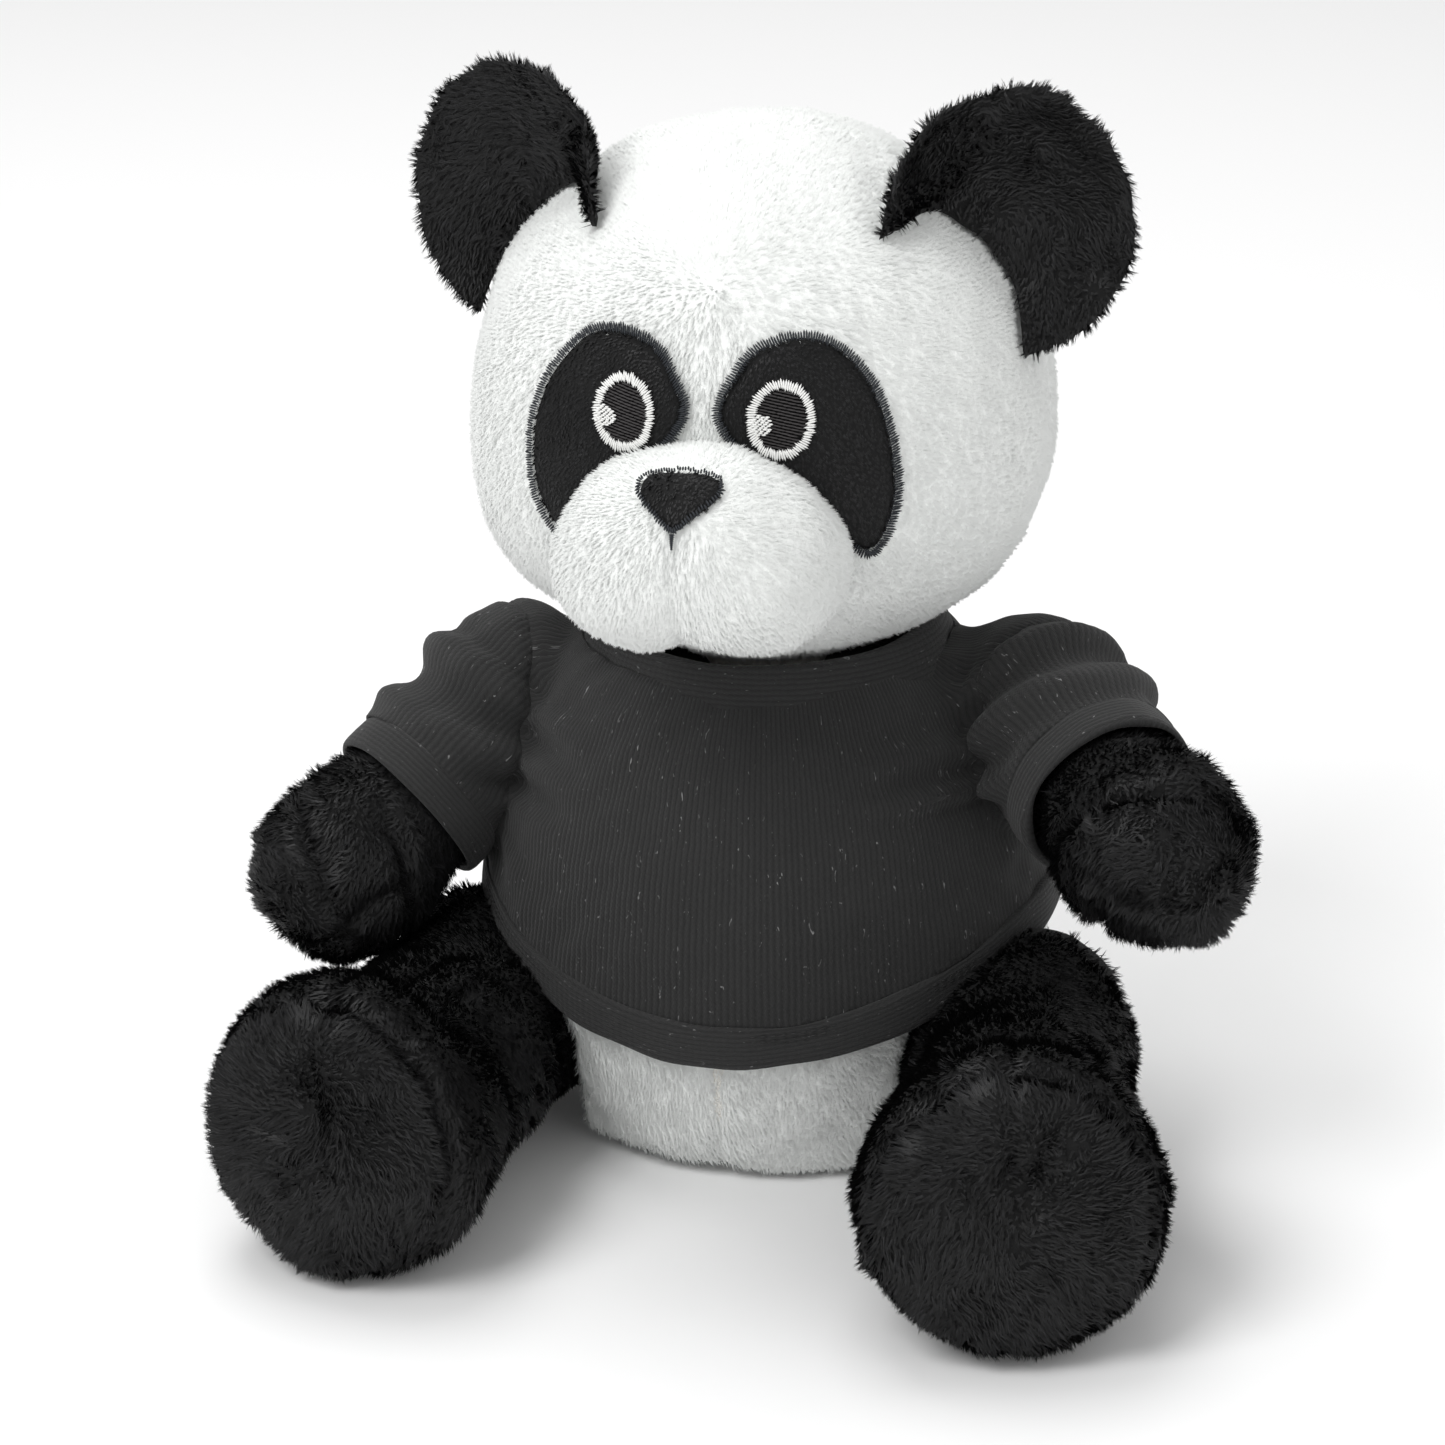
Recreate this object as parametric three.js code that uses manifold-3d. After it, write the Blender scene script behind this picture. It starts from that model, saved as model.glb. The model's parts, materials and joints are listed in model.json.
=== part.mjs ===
// A seated plush panda in a knitted T-shirt, built the way it is sewn: skin panels, filling,
// embroidery and shirt, each its own solid. Millimetres, +Z up, the panda faces -Y and its
// left side is +X. The toy sits on Z = 0 with the middle of its base at the origin.
import * as THREE from 'three';
import { mergeVertices } from 'three/addons/utils/BufferGeometryUtils.js';
import Module from 'manifold-3d';

const wasm = await Module();
wasm.setup();

// ---------------------------------------------------------------- driving dimensions

// Cloth, fits and facets
const SEAM = 0.3; // gap between two pieces sewn or laid together
const PLUSH = 2; // plush cloth with its pile
const JERSEY = 1.2; // shirt cloth
const RIB = 1.8; // doubled rib of the collar, cuffs and hem
const PLAY = 0.7; // gap around a part that turns
const EMBROIDERY = 0.8; // height of satin stitching
const BODY_SIDES = 26;
const LIMB_SIDES = 16;
const ROOM_SIDES = 12; // for the spaces that limbs turn in
const OUTLINE_STEPS = 20;
const FAR = 400; // larger than the toy, for cutting blocks

// Torso: an egg of revolution, flattened front to back
const TORSO_WIDTH = 113;
const TORSO_DEPTH = 104;
const TORSO_HEIGHT = 99;
const BASE_SHARE = 0.82; // base width over the torso's width
const SHOULDER_SHARE = 0.645; // width at the neck rim over the torso's width
const NECK_DISH = 7; // how far the top dips below the neck rim
const YOKE_HEIGHT = 70; // lowest edge of the black chest yoke
const SIDE_SEAM = 14; // side seams, forward of the middle

// Head, neck and muzzle
const HEAD_WIDTH = 114;
const HEAD_DEPTH = 108;
const HEAD_HEIGHT = 108;
const HEAD_FORWARD = 1.5;
const NECK_GAP = 3.5; // daylight between the dish and the head
const NECK_RADIUS = 13;
const HEAD_NOD = 6;
const HEAD_TURN = 30;
const MUZZLE_WIDTH = 54;
const MUZZLE_DEPTH = 46;
const MUZZLE_HEIGHT = 40;
const MUZZLE_DROP = 13.5; // below the head's centre
const MUZZLE_SINK = 2.5; // muzzle centre beyond the head's front

// Ears: cupped discs, placed from the head's centre and turned out from the front
const EAR_RADIUS = 26;
const EAR_THICK = 5;
const EAR_CUP = 8;
const EAR_HINGE = 6; // hinge line below the ear's centre
const EAR_FOLD = 12;
const EAR_PLACE = {
  left: { side: 45.5, forward: 5, rise: 36, turn: 22 },
  right: { side: -41, forward: 5, rise: 38, turn: -24 },
};

// Arms, with the shoulder set in from the torso's side and the heading turned forward from it
const ARM_ROOT_RADIUS = 14;
const ARM_RADIUS = 15;
const PAW_RADIUS = 18.8;
const ARM_LENGTH = 69;
const SLEEVE_LENGTH = 34;
const SLEEVE_ROOT = -8; // how far the sleeve reaches back over the joint
const CUFF_WIDTH = 8;
const ARM_POSE = {
  left: { inset: 4, forward: 1, height: 86, heading: 54, droop: 12, lowest: -18, highest: 45 },
  right: { inset: 6.5, forward: 1, height: 83, heading: 133, droop: 33, lowest: -1, highest: 60 },
};

// Legs, with the hip set in from the torso's side and each leg splayed its own amount
const HIP = {
  left: { inset: 7, forward: 19, height: 21.5, splay: 10.5 },
  right: { inset: 10, forward: 14, height: 21.5, splay: 12 },
};
const LEG_RADIUS = 21;
const FOOT_RADIUS = 29;
const LEG_LENGTH = 92;
const LEG_RISE = 5;
const SOLE_DEPTH = 9; // sole panel, measured back from the toe end
const LEG_SWING = { lowest: 0, highest: 40 };

// Shirt
const SHIRT_EASE = 0.5; // gap between the torso and the shirt
const HEM_FRONT = 29; // hem's lowest edge in the middle
const HEM_CLEARANCE = 1.5; // over the legs, where the hem rises to the sides
const HEM_BAND = 8.5;
const COLLAR_HEIGHT = 5;
const COLLAR_LEAN = 3.5; // how far the rib leans in
const CLOSURE_WIDTH = 10;
const CLOSURE_LENGTH = 34;
const CLOSURE_STRIP = 0.8;
const FLAP_SPREAD = 3; // flap cloth beyond the strips

// Face, seen from the front: across from the middle, up from the head's centre
const EYE = { across: 14, up: 9.5, wide: 12, tall: 14, thread: 1.9 };
const HIGHLIGHT = { radius: 1.7, across: -2.6, up: -0.8 };
const PATCH_BORDER = 2;
const PATCH_CLOTH = 1; // short pile of the eye patches
const PATCH_OUTLINE = [
  [2.6, 8], [5.2, 18.4], [10.4, 23.1], [17.9, 24.3], [24.9, 21.3], [31, 13.5],
  [34, 2], [33.2, -9], [27.5, -16.7], [18, -8],
];
const NOSE_OUTLINE = [[0, 17.2], [6.6, 16.2], [7.6, 13.6], [3.6, 10.6], [0, 8.6], [-3.6, 10.6],
  [-7.6, 13.6], [-6.6, 16.2]];
const NOSE_BORDER = 1.1;
const NOSE_STITCH = 2.6; // short line of thread under the nose

// Filling and small trim
const BEAN_RADIUS = 26;
const BEAN_HEIGHT = 17;
const BEAN_CLOTH = 1;
const BEAN_SLIT = 8;
const TAIL_RADIUS = 9;
const TAIL_HEIGHT = 17;
const LABEL = { wide: 14, long: 11, thick: 0.6, angle: 38, height: 9 };

const FINISH = {
  whitePlush: { color: 0xf1f2f0, roughness: 0.95, metalness: 0 },
  blackPlush: { color: 0x161616, roughness: 0.95, metalness: 0 },
  jersey: { color: 0x2b2b2b, roughness: 0.9, metalness: 0 },
  rib: { color: 0x303030, roughness: 0.9, metalness: 0 },
  blackThread: { color: 0x1b2026, roughness: 0.5, metalness: 0 },
  whiteThread: { color: 0xededed, roughness: 0.5, metalness: 0 },
  filling: { color: 0xf6f4ee, roughness: 1, metalness: 0 },
  cotton: { color: 0xd9d4c8, roughness: 0.9, metalness: 0 },
  beans: { color: 0xcfd3d6, roughness: 0.6, metalness: 0 },
  nylon: { color: 0x222222, roughness: 0.7, metalness: 0 },
  ribbon: { color: 0xf4f4f2, roughness: 0.4, metalness: 0 },
};

// ---------------------------------------------------------------- solids

const radians = THREE.MathUtils.degToRad;
const vector = (x, y, z) => new THREE.Vector3(x, y, z);

/** Turn a closed three.js geometry into a solid that can be cut and joined. */
function solidOf(geometry) {
  const bare = geometry.clone();
  bare.deleteAttribute('normal');
  bare.deleteAttribute('uv');
  const merged = mergeVertices(bare, 1e-4);
  const index = merged.index.array;
  const kept = [];
  for (let i = 0; i < index.length; i += 3) {
    const [a, b, c] = index.slice(i, i + 3);
    if (a !== b && b !== c && c !== a) kept.push(a, b, c);
  }
  return new wasm.Manifold(new wasm.Mesh({
    numProp: 3,
    vertProperties: new Float32Array(merged.attributes.position.array),
    triVerts: new Uint32Array(kept),
  }));
}

/** Turn a solid back into a geometry, with its origin moved to a pivot. */
function geometryOf(solid, pivot) {
  const mesh = solid.getMesh();
  const geometry = new THREE.BufferGeometry();
  geometry.setAttribute('position', new THREE.BufferAttribute(mesh.vertProperties, 3));
  geometry.setIndex(new THREE.BufferAttribute(mesh.triVerts, 1));
  geometry.translate(-pivot.x, -pivot.y, -pivot.z);
  const faceted = geometry.toNonIndexed();
  faceted.computeVertexNormals();
  return faceted;
}

const cut = (solid, ...tools) => tools.reduce((left, tool) => left.subtract(tool), solid);
const join = (...solids) => solids.reduce((whole, solid) => whole.add(solid));
const meet = (...solids) => solids.reduce((common, solid) => common.intersect(solid));

/** A solid moved by a three.js matrix. */
const moved = (solid, matrix) => solid.transform(matrix.toArray());

/** A box between two corners. */
function block(low, high) {
  const size = high.map((value, i) => value - low[i]);
  const middle = high.map((value, i) => (value + low[i]) / 2);
  return solidOf(new THREE.BoxGeometry(...size).translate(...middle));
}

const above = (height) => block([-FAR, -FAR, height], [FAR, FAR, FAR]);
const below = (height) => block([-FAR, -FAR, -FAR], [FAR, FAR, height]);
const frontOf = (y) => block([-FAR, -FAR, -FAR], [FAR, y, FAR]);
const behind = (y) => block([-FAR, y, -FAR], [FAR, FAR, FAR]);
const leftOf = (x) => block([x, -FAR, -FAR], [FAR, FAR, FAR]);
const rightOf = (x) => block([-FAR, -FAR, -FAR], [x, FAR, FAR]);

/** An ellipsoid from its radii and centre, its poles facing front and back. */
function ellipsoid(radii, centre, grow = 0, sides = BODY_SIDES) {
  const geometry = new THREE.SphereGeometry(1, sides, sides / 2);
  geometry.scale(...radii.map((radius) => radius + grow));
  return solidOf(geometry.translate(...centre));
}

const ball = (centre, radius) => ellipsoid([radius, radius, radius], centre, 0, LIMB_SIDES);

/** A smooth outline through a few [radius, height] points, from the axis back to the axis. */
function profile(points, steps) {
  const curve = new THREE.SplineCurve(points.map(([radius, height]) => new THREE.Vector2(radius, height)));
  const line = curve.getPoints(steps);
  for (const end of [line[0], line[line.length - 1]]) end.x = 0;
  return line.map((point) => new THREE.Vector2(Math.max(point.x, 0), point.y));
}

/** A profile moved outward by a distance, square to itself. */
function offset(line, distance) {
  return line.map((point, i) => {
    if (i === 0) return new THREE.Vector2(0, point.y - distance);
    if (i === line.length - 1) return new THREE.Vector2(0, point.y + distance);
    const along = line[i + 1].clone().sub(line[i - 1]).normalize();
    return new THREE.Vector2(Math.max(point.x + along.y * distance, 0.01), point.y - along.x * distance);
  });
}

/** A profile turned about Z. */
function turned(line, sides) {
  return solidOf(new THREE.LatheGeometry(line, sides).rotateX(Math.PI / 2));
}

/** An outline of [across, up] points, closed smoothly and run from front to back. */
function pushedThrough(outline, grow, steps = OUTLINE_STEPS) {
  const curve = new THREE.CatmullRomCurve3(outline.map(([x, z]) => vector(x, z, 0)), true);
  const line = curve.getPoints(steps).slice(0, steps);
  const clockwise = THREE.ShapeUtils.isClockWise(line);
  const wide = line.map((point, i) => {
    const next = line[(i + 1) % steps].clone().sub(line[(i + steps - 1) % steps]).normalize();
    const outward = vector(next.y, -next.x, 0).multiplyScalar(clockwise ? -grow : grow);
    return point.clone().add(outward);
  });
  return extrudedFront(wide);
}

/** A flat outline drawn on the XZ plane and extruded along Y, through everything in front. */
function extrudedFront(line) {
  const shape = new THREE.Shape(line.map((point) => new THREE.Vector2(point.x, point.y)));
  const geometry = new THREE.ExtrudeGeometry(shape, { depth: FAR, bevelEnabled: false, steps: 1 });
  return solidOf(geometry.rotateX(Math.PI / 2));
}

/** The same outline for both eyes: mirrored for the right one. */
const mirrored = (outline, side) => outline.map(([x, z]) => [x * side, z]);

const lifted = (outline, height) => outline.map(([x, z]) => [x, z + height]);

/** The points of an ellipse as an outline. */
function ellipse(across, up, halfWide, halfTall, count = 12) {
  return Array.from({ length: count }, (_, i) => {
    const angle = (2 * Math.PI * i) / count;
    return [across + halfWide * Math.cos(angle), up + halfTall * Math.sin(angle)];
  });
}

// ---------------------------------------------------------------- the toy's bodies

const toy = new THREE.Group();

/** A group at a joint, inside the group that carries it. */
function jointGroup(parent, pivot) {
  const group = new THREE.Group();
  group.position.copy(pivot).sub(parent.userData.pivot);
  group.userData.pivot = pivot;
  parent.add(group);
  return group;
}

/** Add one named piece to a body. */
function piece(body, name, solid, finish) {
  const geometry = geometryOf(solid, body.userData.pivot);
  const mesh = new THREE.Mesh(geometry, new THREE.MeshStandardMaterial(FINISH[finish]));
  mesh.name = name;
  body.add(mesh);
}

toy.userData.pivot = vector(0, 0, 0);

// ---------------------------------------------------------------- shared shapes

const HALF_WIDTH = TORSO_WIDTH / 2;
// How much higher the hem is at the sides, where it passes over the legs
const HEM_LIFT = HIP.left.height + LEG_RADIUS + HEM_CLEARANCE - HEM_FRONT;
const DEPTH_SHARE = TORSO_DEPTH / TORSO_WIDTH;
const NECK_RIM = HALF_WIDTH * SHOULDER_SHARE;

const TORSO_LINE = profile([
  [0, 0], [HALF_WIDTH * BASE_SHARE * 0.5, 0], [HALF_WIDTH * BASE_SHARE, 0.4],
  [HALF_WIDTH * 0.95, TORSO_HEIGHT * 0.12], [HALF_WIDTH, TORSO_HEIGHT * 0.36],
  [HALF_WIDTH * 0.95, TORSO_HEIGHT * 0.6], [HALF_WIDTH * 0.84, TORSO_HEIGHT * 0.82],
  [NECK_RIM * 1.04, TORSO_HEIGHT * 0.96], [NECK_RIM * 0.88, TORSO_HEIGHT],
  [NECK_RIM * 0.66, TORSO_HEIGHT - NECK_DISH * 0.5], [NECK_RIM * 0.3, TORSO_HEIGHT - NECK_DISH],
  [0, TORSO_HEIGHT - NECK_DISH],
], 15);

/** The torso's outside, moved out or in by a distance. */
function torsoForm(grow) {
  return turned(offset(TORSO_LINE, grow), BODY_SIDES).scale([1, DEPTH_SHARE, 1]);
}

/** A layer of cloth around the torso, between two distances from its surface. */
const torsoLayer = (inner, outer) => cut(torsoForm(outer), torsoForm(inner));

const HEAD_BOTTOM = TORSO_HEIGHT - NECK_DISH + NECK_GAP;
const HEAD_CENTRE = [0, -HEAD_FORWARD, HEAD_BOTTOM + HEAD_HEIGHT / 2];
const HEAD_RADII = [HEAD_WIDTH / 2, HEAD_DEPTH / 2, HEAD_HEIGHT / 2];
const NECK_PIVOT = vector(0, -HEAD_FORWARD, HEAD_BOTTOM + NECK_GAP);
const MUZZLE_CENTRE = [0, -(HEAD_FORWARD + HEAD_DEPTH / 2 + MUZZLE_SINK), HEAD_CENTRE[2] - MUZZLE_DROP];
const MUZZLE_RADII = [MUZZLE_WIDTH / 2, MUZZLE_DEPTH / 2, MUZZLE_HEIGHT / 2];

const PATCH_TOP = SEAM + PATCH_CLOTH;

const headForm = (grow) => ellipsoid(HEAD_RADII, HEAD_CENTRE, grow);
const muzzleForm = (grow) => ellipsoid(MUZZLE_RADII, MUZZLE_CENTRE, grow, LIMB_SIDES + 2);
const neckBall = (grow) => ball(NECK_PIVOT.toArray(), NECK_RADIUS + grow);

const SLEEVE_REACH = SEAM + JERSEY; // sleeve's outside, beyond the arm
const CUFF_REACH = SEAM + RIB;

const ARM_LINE = profile([
  [0, -ARM_ROOT_RADIUS], [ARM_ROOT_RADIUS * 0.72, -ARM_ROOT_RADIUS * 0.7], [ARM_ROOT_RADIUS, 0],
  [ARM_RADIUS, ARM_LENGTH * 0.25], [ARM_RADIUS, SLEEVE_LENGTH], [PAW_RADIUS, ARM_LENGTH * 0.7],
  [PAW_RADIUS * 0.9, ARM_LENGTH * 0.86], [PAW_RADIUS * 0.5, ARM_LENGTH * 0.97], [0, ARM_LENGTH],
], 13);

const LEG_LINE = profile([
  [0, -LEG_RADIUS], [LEG_RADIUS * 0.72, -LEG_RADIUS * 0.7], [LEG_RADIUS, 0],
  [LEG_RADIUS * 1.03, LEG_LENGTH * 0.3], [LEG_RADIUS * 1.18, LEG_LENGTH * 0.52],
  [FOOT_RADIUS * 0.97, LEG_LENGTH * 0.72], [FOOT_RADIUS, LEG_LENGTH * 0.84],
  [FOOT_RADIUS * 0.82, LEG_LENGTH * 0.96], [FOOT_RADIUS * 0.4, LEG_LENGTH], [0, LEG_LENGTH],
], 14);

const ROOT_OPENING = -3; // skins stop short of the joint's ball, where they are sewn to the torso

/** The matrix that stands a limb's own +Z along its heading, with its own -Y upward. */
function limbMatrix(pivot, heading) {
  const across = vector(heading.y, -heading.x, 0).normalize();
  const basis = new THREE.Matrix4().makeBasis(across, heading.clone().cross(across), heading);
  return basis.setPosition(pivot);
}

/** A solid turned about an axis through a pivot. */
function swung(solid, pivot, axis, degrees) {
  const turn = new THREE.Matrix4().makeTranslation(pivot);
  turn.multiply(new THREE.Matrix4().makeRotationAxis(axis, radians(degrees)));
  turn.multiply(new THREE.Matrix4().makeTranslation(pivot.clone().negate()));
  return moved(solid, turn);
}

const AROUND_FACETS = 1 / Math.cos(Math.PI / ROOM_SIDES); // widens a room so that its flats clear a limb

/** The space a limb passes through over its joint's range: a ball at the joint, and the swept limb. */
function sweep(line, rootRadius, grow, plan, range, step = 11) {
  const room = turned(offset(line, grow), ROOM_SIDES).scale([AROUND_FACETS, AROUND_FACETS, 1]);
  const limb = meet(room, above(0));
  const stood = moved(limb, plan.matrix);
  const places = [ball(plan.pivot.toArray(), rootRadius + grow + SEAM)];
  for (let angle = range.lowest; angle < range.highest; angle += step) {
    places.push(swung(stood, plan.pivot, plan.axis, angle));
  }
  places.push(swung(stood, plan.pivot, plan.axis, range.highest));
  return join(...places);
}

/** Where a limb stands: its joint, its heading and the axis that lifts it. */
function limbPlan(place, side, headingDegrees, rise, axis) {
  const pivot = vector(side * (HALF_WIDTH - place.inset), -place.forward, place.height);
  const flat = vector(Math.cos(radians(headingDegrees)), -Math.sin(radians(headingDegrees)), 0);
  const heading = flat.clone().multiplyScalar(Math.cos(radians(rise)));
  heading.z = Math.sin(radians(rise));
  return { pivot, heading, axis: axis ?? vector(flat.y, -flat.x, 0), matrix: limbMatrix(pivot, heading) };
}

const armPlan = (pose, side) => limbPlan(pose, side, pose.heading, -pose.droop);
const legPlan = (place, side) =>
  limbPlan(place, side, 90 - side * place.splay, LEG_RISE, vector(1, 0, 0));

const ARMS = { left: armPlan(ARM_POSE.left, 1), right: armPlan(ARM_POSE.right, -1) };
const LEGS = { left: legPlan(HIP.left, 1), right: legPlan(HIP.right, -1) };

/** A limb's outside in its own frame, moved out or in. */
const armForm = (grow) => turned(offset(ARM_LINE, grow), LIMB_SIDES);
const legForm = (grow) => turned(offset(LEG_LINE, grow), LIMB_SIDES);

/** Where the sleeved arms and the legs pass, with room to turn. */
function limbRoom() {
  const arms = Object.keys(ARMS).map((name) => (
    sweep(ARM_LINE, ARM_ROOT_RADIUS, CUFF_REACH + PLAY, ARMS[name], ARM_POSE[name])
  ));
  const legs = Object.values(LEGS).map((plan) => sweep(LEG_LINE, LEG_RADIUS, PLAY, plan, LEG_SWING));
  return join(...arms, ...legs);
}

const LIMB_ROOM = limbRoom();

// ---------------------------------------------------------------- torso

function addTorso() {
  const shell = cut(torsoLayer(-PLUSH, 0), LIMB_ROOM, neckBall(PLAY), below(0));
  const baseTop = PLUSH;
  const half = SEAM / 2;
  const yokeCut = YOKE_HEIGHT - SEAM;
  const wall = meet(shell, above(baseTop + SEAM), below(yokeCut));
  piece(toy, 'torso_base', meet(shell, below(baseTop)), 'whitePlush');
  piece(toy, 'chest_yoke', meet(shell, above(YOKE_HEIGHT)), 'blackPlush');
  const belly = meet(wall, frontOf(-SIDE_SEAM - half));
  const back = meet(wall, behind(half - SIDE_SEAM));
  piece(toy, 'belly_left', meet(belly, leftOf(half)), 'whitePlush');
  piece(toy, 'belly_right', meet(belly, rightOf(-half)), 'whitePlush');
  piece(toy, 'torso_back_left', meet(back, leftOf(half)), 'whitePlush');
  piece(toy, 'torso_back_right', meet(back, rightOf(-half)), 'whitePlush');
}

/** The bean bag's shape: a flattened cushion standing on the base panel. */
function beanForm(shrink) {
  const low = PLUSH + 2 * SEAM + shrink;
  const high = PLUSH + 2 * SEAM + BEAN_HEIGHT - shrink;
  const radius = BEAN_RADIUS - shrink;
  const middle = (low + high) / 2;
  const line = profile([
    [0, low], [radius * 0.8, low], [radius, middle], [radius * 0.8, high], [0, high],
  ], 9);
  return turned(line, ROOM_SIDES).scale([1, DEPTH_SHARE, 1]);
}

function addFilling() {
  const slit = block([-BEAN_SLIT, -BEAN_CLOTH, BEAN_HEIGHT / 2], [BEAN_SLIT, BEAN_CLOTH, FAR]);
  const inside = cut(torsoForm(-PLUSH - SEAM), LIMB_ROOM, neckBall(PLAY), below(PLUSH + 2 * SEAM));
  piece(toy, 'torso_stuffing', cut(inside, beanForm(-SEAM)), 'filling');
  piece(toy, 'bean_bag', cut(beanForm(0), beanForm(BEAN_CLOTH), slit), 'cotton');
  piece(toy, 'bean_fill', beanForm(BEAN_CLOTH + SEAM), 'beans');
}

function addTail() {
  const centre = [0, TORSO_DEPTH / 2 - 1, TAIL_HEIGHT];
  piece(toy, 'tail', cut(ball(centre, TAIL_RADIUS), torsoForm(SEAM)), 'whitePlush');
}

function addLabel() {
  const angle = radians(LABEL.angle);
  const radius = HALF_WIDTH * 0.9;
  const geometry = new THREE.BoxGeometry(LABEL.thick, LABEL.long * 2, LABEL.wide);
  geometry.rotateZ(-angle);
  geometry.translate(-radius * Math.sin(angle), radius * DEPTH_SHARE * Math.cos(angle), LABEL.height);
  piece(toy, 'care_label', cut(solidOf(geometry), torsoForm(SEAM), below(SEAM)), 'ribbon');
}

// ---------------------------------------------------------------- shirt

/** Everything under the hem line, which rises from the middle to the sides. */
function underHem(raise) {
  const steps = 16;
  const reach = TORSO_WIDTH;
  const line = [vector(reach, -FAR, 0), vector(-reach, -FAR, 0)];
  for (let i = 0; i <= steps; i += 1) {
    const x = -reach + (2 * reach * i) / steps;
    const share = Math.min(Math.abs(x) / HALF_WIDTH, 1);
    line.push(vector(x, HEM_FRONT + raise + HEM_LIFT * share * share, 0));
  }
  return join(extrudedFront(line), extrudedFront(line).translate([0, FAR, 0]));
}

const COLLAR_BASE = TORSO_HEIGHT - SHIRT_EASE;
const LAP = CLOSURE_WIDTH / 2 + FLAP_SPREAD; // how far each back panel runs past the middle

/** The hole that the collar is sewn around. */
function neckOpening() {
  const radius = NECK_RIM * 0.98;
  const geometry = new THREE.CylinderGeometry(radius, radius, TORSO_HEIGHT, BODY_SIDES);
  return solidOf(geometry.rotateX(Math.PI / 2).scale(1, DEPTH_SHARE, 1).translate(0, 0, TORSO_HEIGHT * 1.2));
}

function addShirt() {
  const half = SEAM / 2;
  const panelOuter = SHIRT_EASE + JERSEY;
  const tools = [LIMB_ROOM, neckOpening(), underHem(HEM_BAND + SEAM), above(COLLAR_BASE - SEAM)];
  const body = cut(torsoLayer(SHIRT_EASE, panelOuter), ...tools);
  const back = meet(body, behind(half - SIDE_SEAM));
  const hem = meet(torsoLayer(SHIRT_EASE, SHIRT_EASE + RIB), cut(underHem(HEM_BAND), underHem(0)));
  piece(toy, 'hem_band', cut(hem, LIMB_ROOM), 'rib');
  piece(toy, 'shirt_front', meet(body, frontOf(-SIDE_SEAM - half)), 'jersey');
  piece(toy, 'shirt_back_right', meet(back, rightOf(LAP)), 'jersey');
  addClosure(meet(back, leftOf(LAP + SEAM)), panelOuter);
}

/** The hook and loop strips up the back, under a flap that steps out from the left back panel. */
function addClosure(leftPanel, panelOuter) {
  const top = YOKE_HEIGHT + CLOSURE_LENGTH / 3;
  const bottom = top - CLOSURE_LENGTH;
  const loopLow = panelOuter + SEAM;
  const hookLow = loopLow + CLOSURE_STRIP + SEAM;
  const flapLow = hookLow + CLOSURE_STRIP + SEAM;
  const flapHigh = flapLow + JERSEY;
  const fold = LAP + SEAM + JERSEY;
  const strip = (low) => meet(torsoLayer(low, low + CLOSURE_STRIP),
    block([-CLOSURE_WIDTH / 2, 0, bottom], [CLOSURE_WIDTH / 2, FAR, top]));
  const band = (from) => block([from, 0, bottom - FLAP_SPREAD], [fold, FAR, top + FLAP_SPREAD]);
  const flap = meet(torsoLayer(flapLow, flapHigh), band(-LAP));
  const step = meet(torsoLayer(SHIRT_EASE, flapHigh), band(LAP + SEAM));
  piece(toy, 'closure_loop', strip(loopLow), 'nylon');
  piece(toy, 'closure_hook', strip(hookLow), 'nylon');
  piece(toy, 'shirt_back_left', join(leftPanel, flap, step), 'jersey');
}

/** The space the chin and the back of the head pass through as the head nods and turns. */
function headRoom() {
  const places = [-HEAD_NOD, 0, HEAD_NOD].flatMap((nod) => {
    const nodded = swung(headForm(PLAY), NECK_PIVOT, vector(1, 0, 0), nod);
    return [-HEAD_TURN, 0, HEAD_TURN].map((turn) => swung(nodded, NECK_PIVOT, vector(0, 0, 1), turn));
  });
  return join(...places);
}

/** The rib collar: a ring that leans in towards the neck. */
function addCollar() {
  const low = NECK_RIM * 1.04 + SHIRT_EASE + JERSEY;
  const high = low - COLLAR_LEAN;
  const ring = [
    [low, COLLAR_BASE], [low + RIB, COLLAR_BASE], [high + RIB, COLLAR_BASE + COLLAR_HEIGHT],
    [high, COLLAR_BASE + COLLAR_HEIGHT], [low, COLLAR_BASE],
  ].map(([radius, height]) => new THREE.Vector2(radius, height));
  const collar = turned(ring, BODY_SIDES).scale([1, DEPTH_SHARE, 1]);
  piece(toy, 'collar_rib', cut(collar, LIMB_ROOM, headRoom()), 'rib');
}

// ---------------------------------------------------------------- arms

function addArm(name) {
  const { pivot, matrix } = ARMS[name];
  const body = jointGroup(toy, pivot);
  const half = SEAM / 2;
  const place = (solid) => moved(solid, matrix);
  const skin = meet(cut(armForm(0), armForm(-PLUSH)), above(ROOT_OPENING));
  const cuffStart = SLEEVE_LENGTH - CUFF_WIDTH;
  const sleeve = meet(cut(armForm(SLEEVE_REACH), armForm(SEAM)), above(SLEEVE_ROOT),
    below(cuffStart - SEAM));
  const cuff = meet(cut(armForm(CUFF_REACH), armForm(SEAM)), above(cuffStart), below(SLEEVE_LENGTH));
  piece(body, `arm_${name}_upper`, place(meet(skin, frontOf(-half))), 'blackPlush');
  piece(body, `arm_${name}_under`, place(meet(skin, behind(half))), 'blackPlush');
  piece(body, `arm_${name}_stuffing`, place(armForm(-PLUSH - SEAM)), 'filling');
  piece(body, `sleeve_${name}`, place(sleeve), 'jersey');
  piece(body, `cuff_${name}`, place(cuff), 'rib');
}

// ---------------------------------------------------------------- legs

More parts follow.
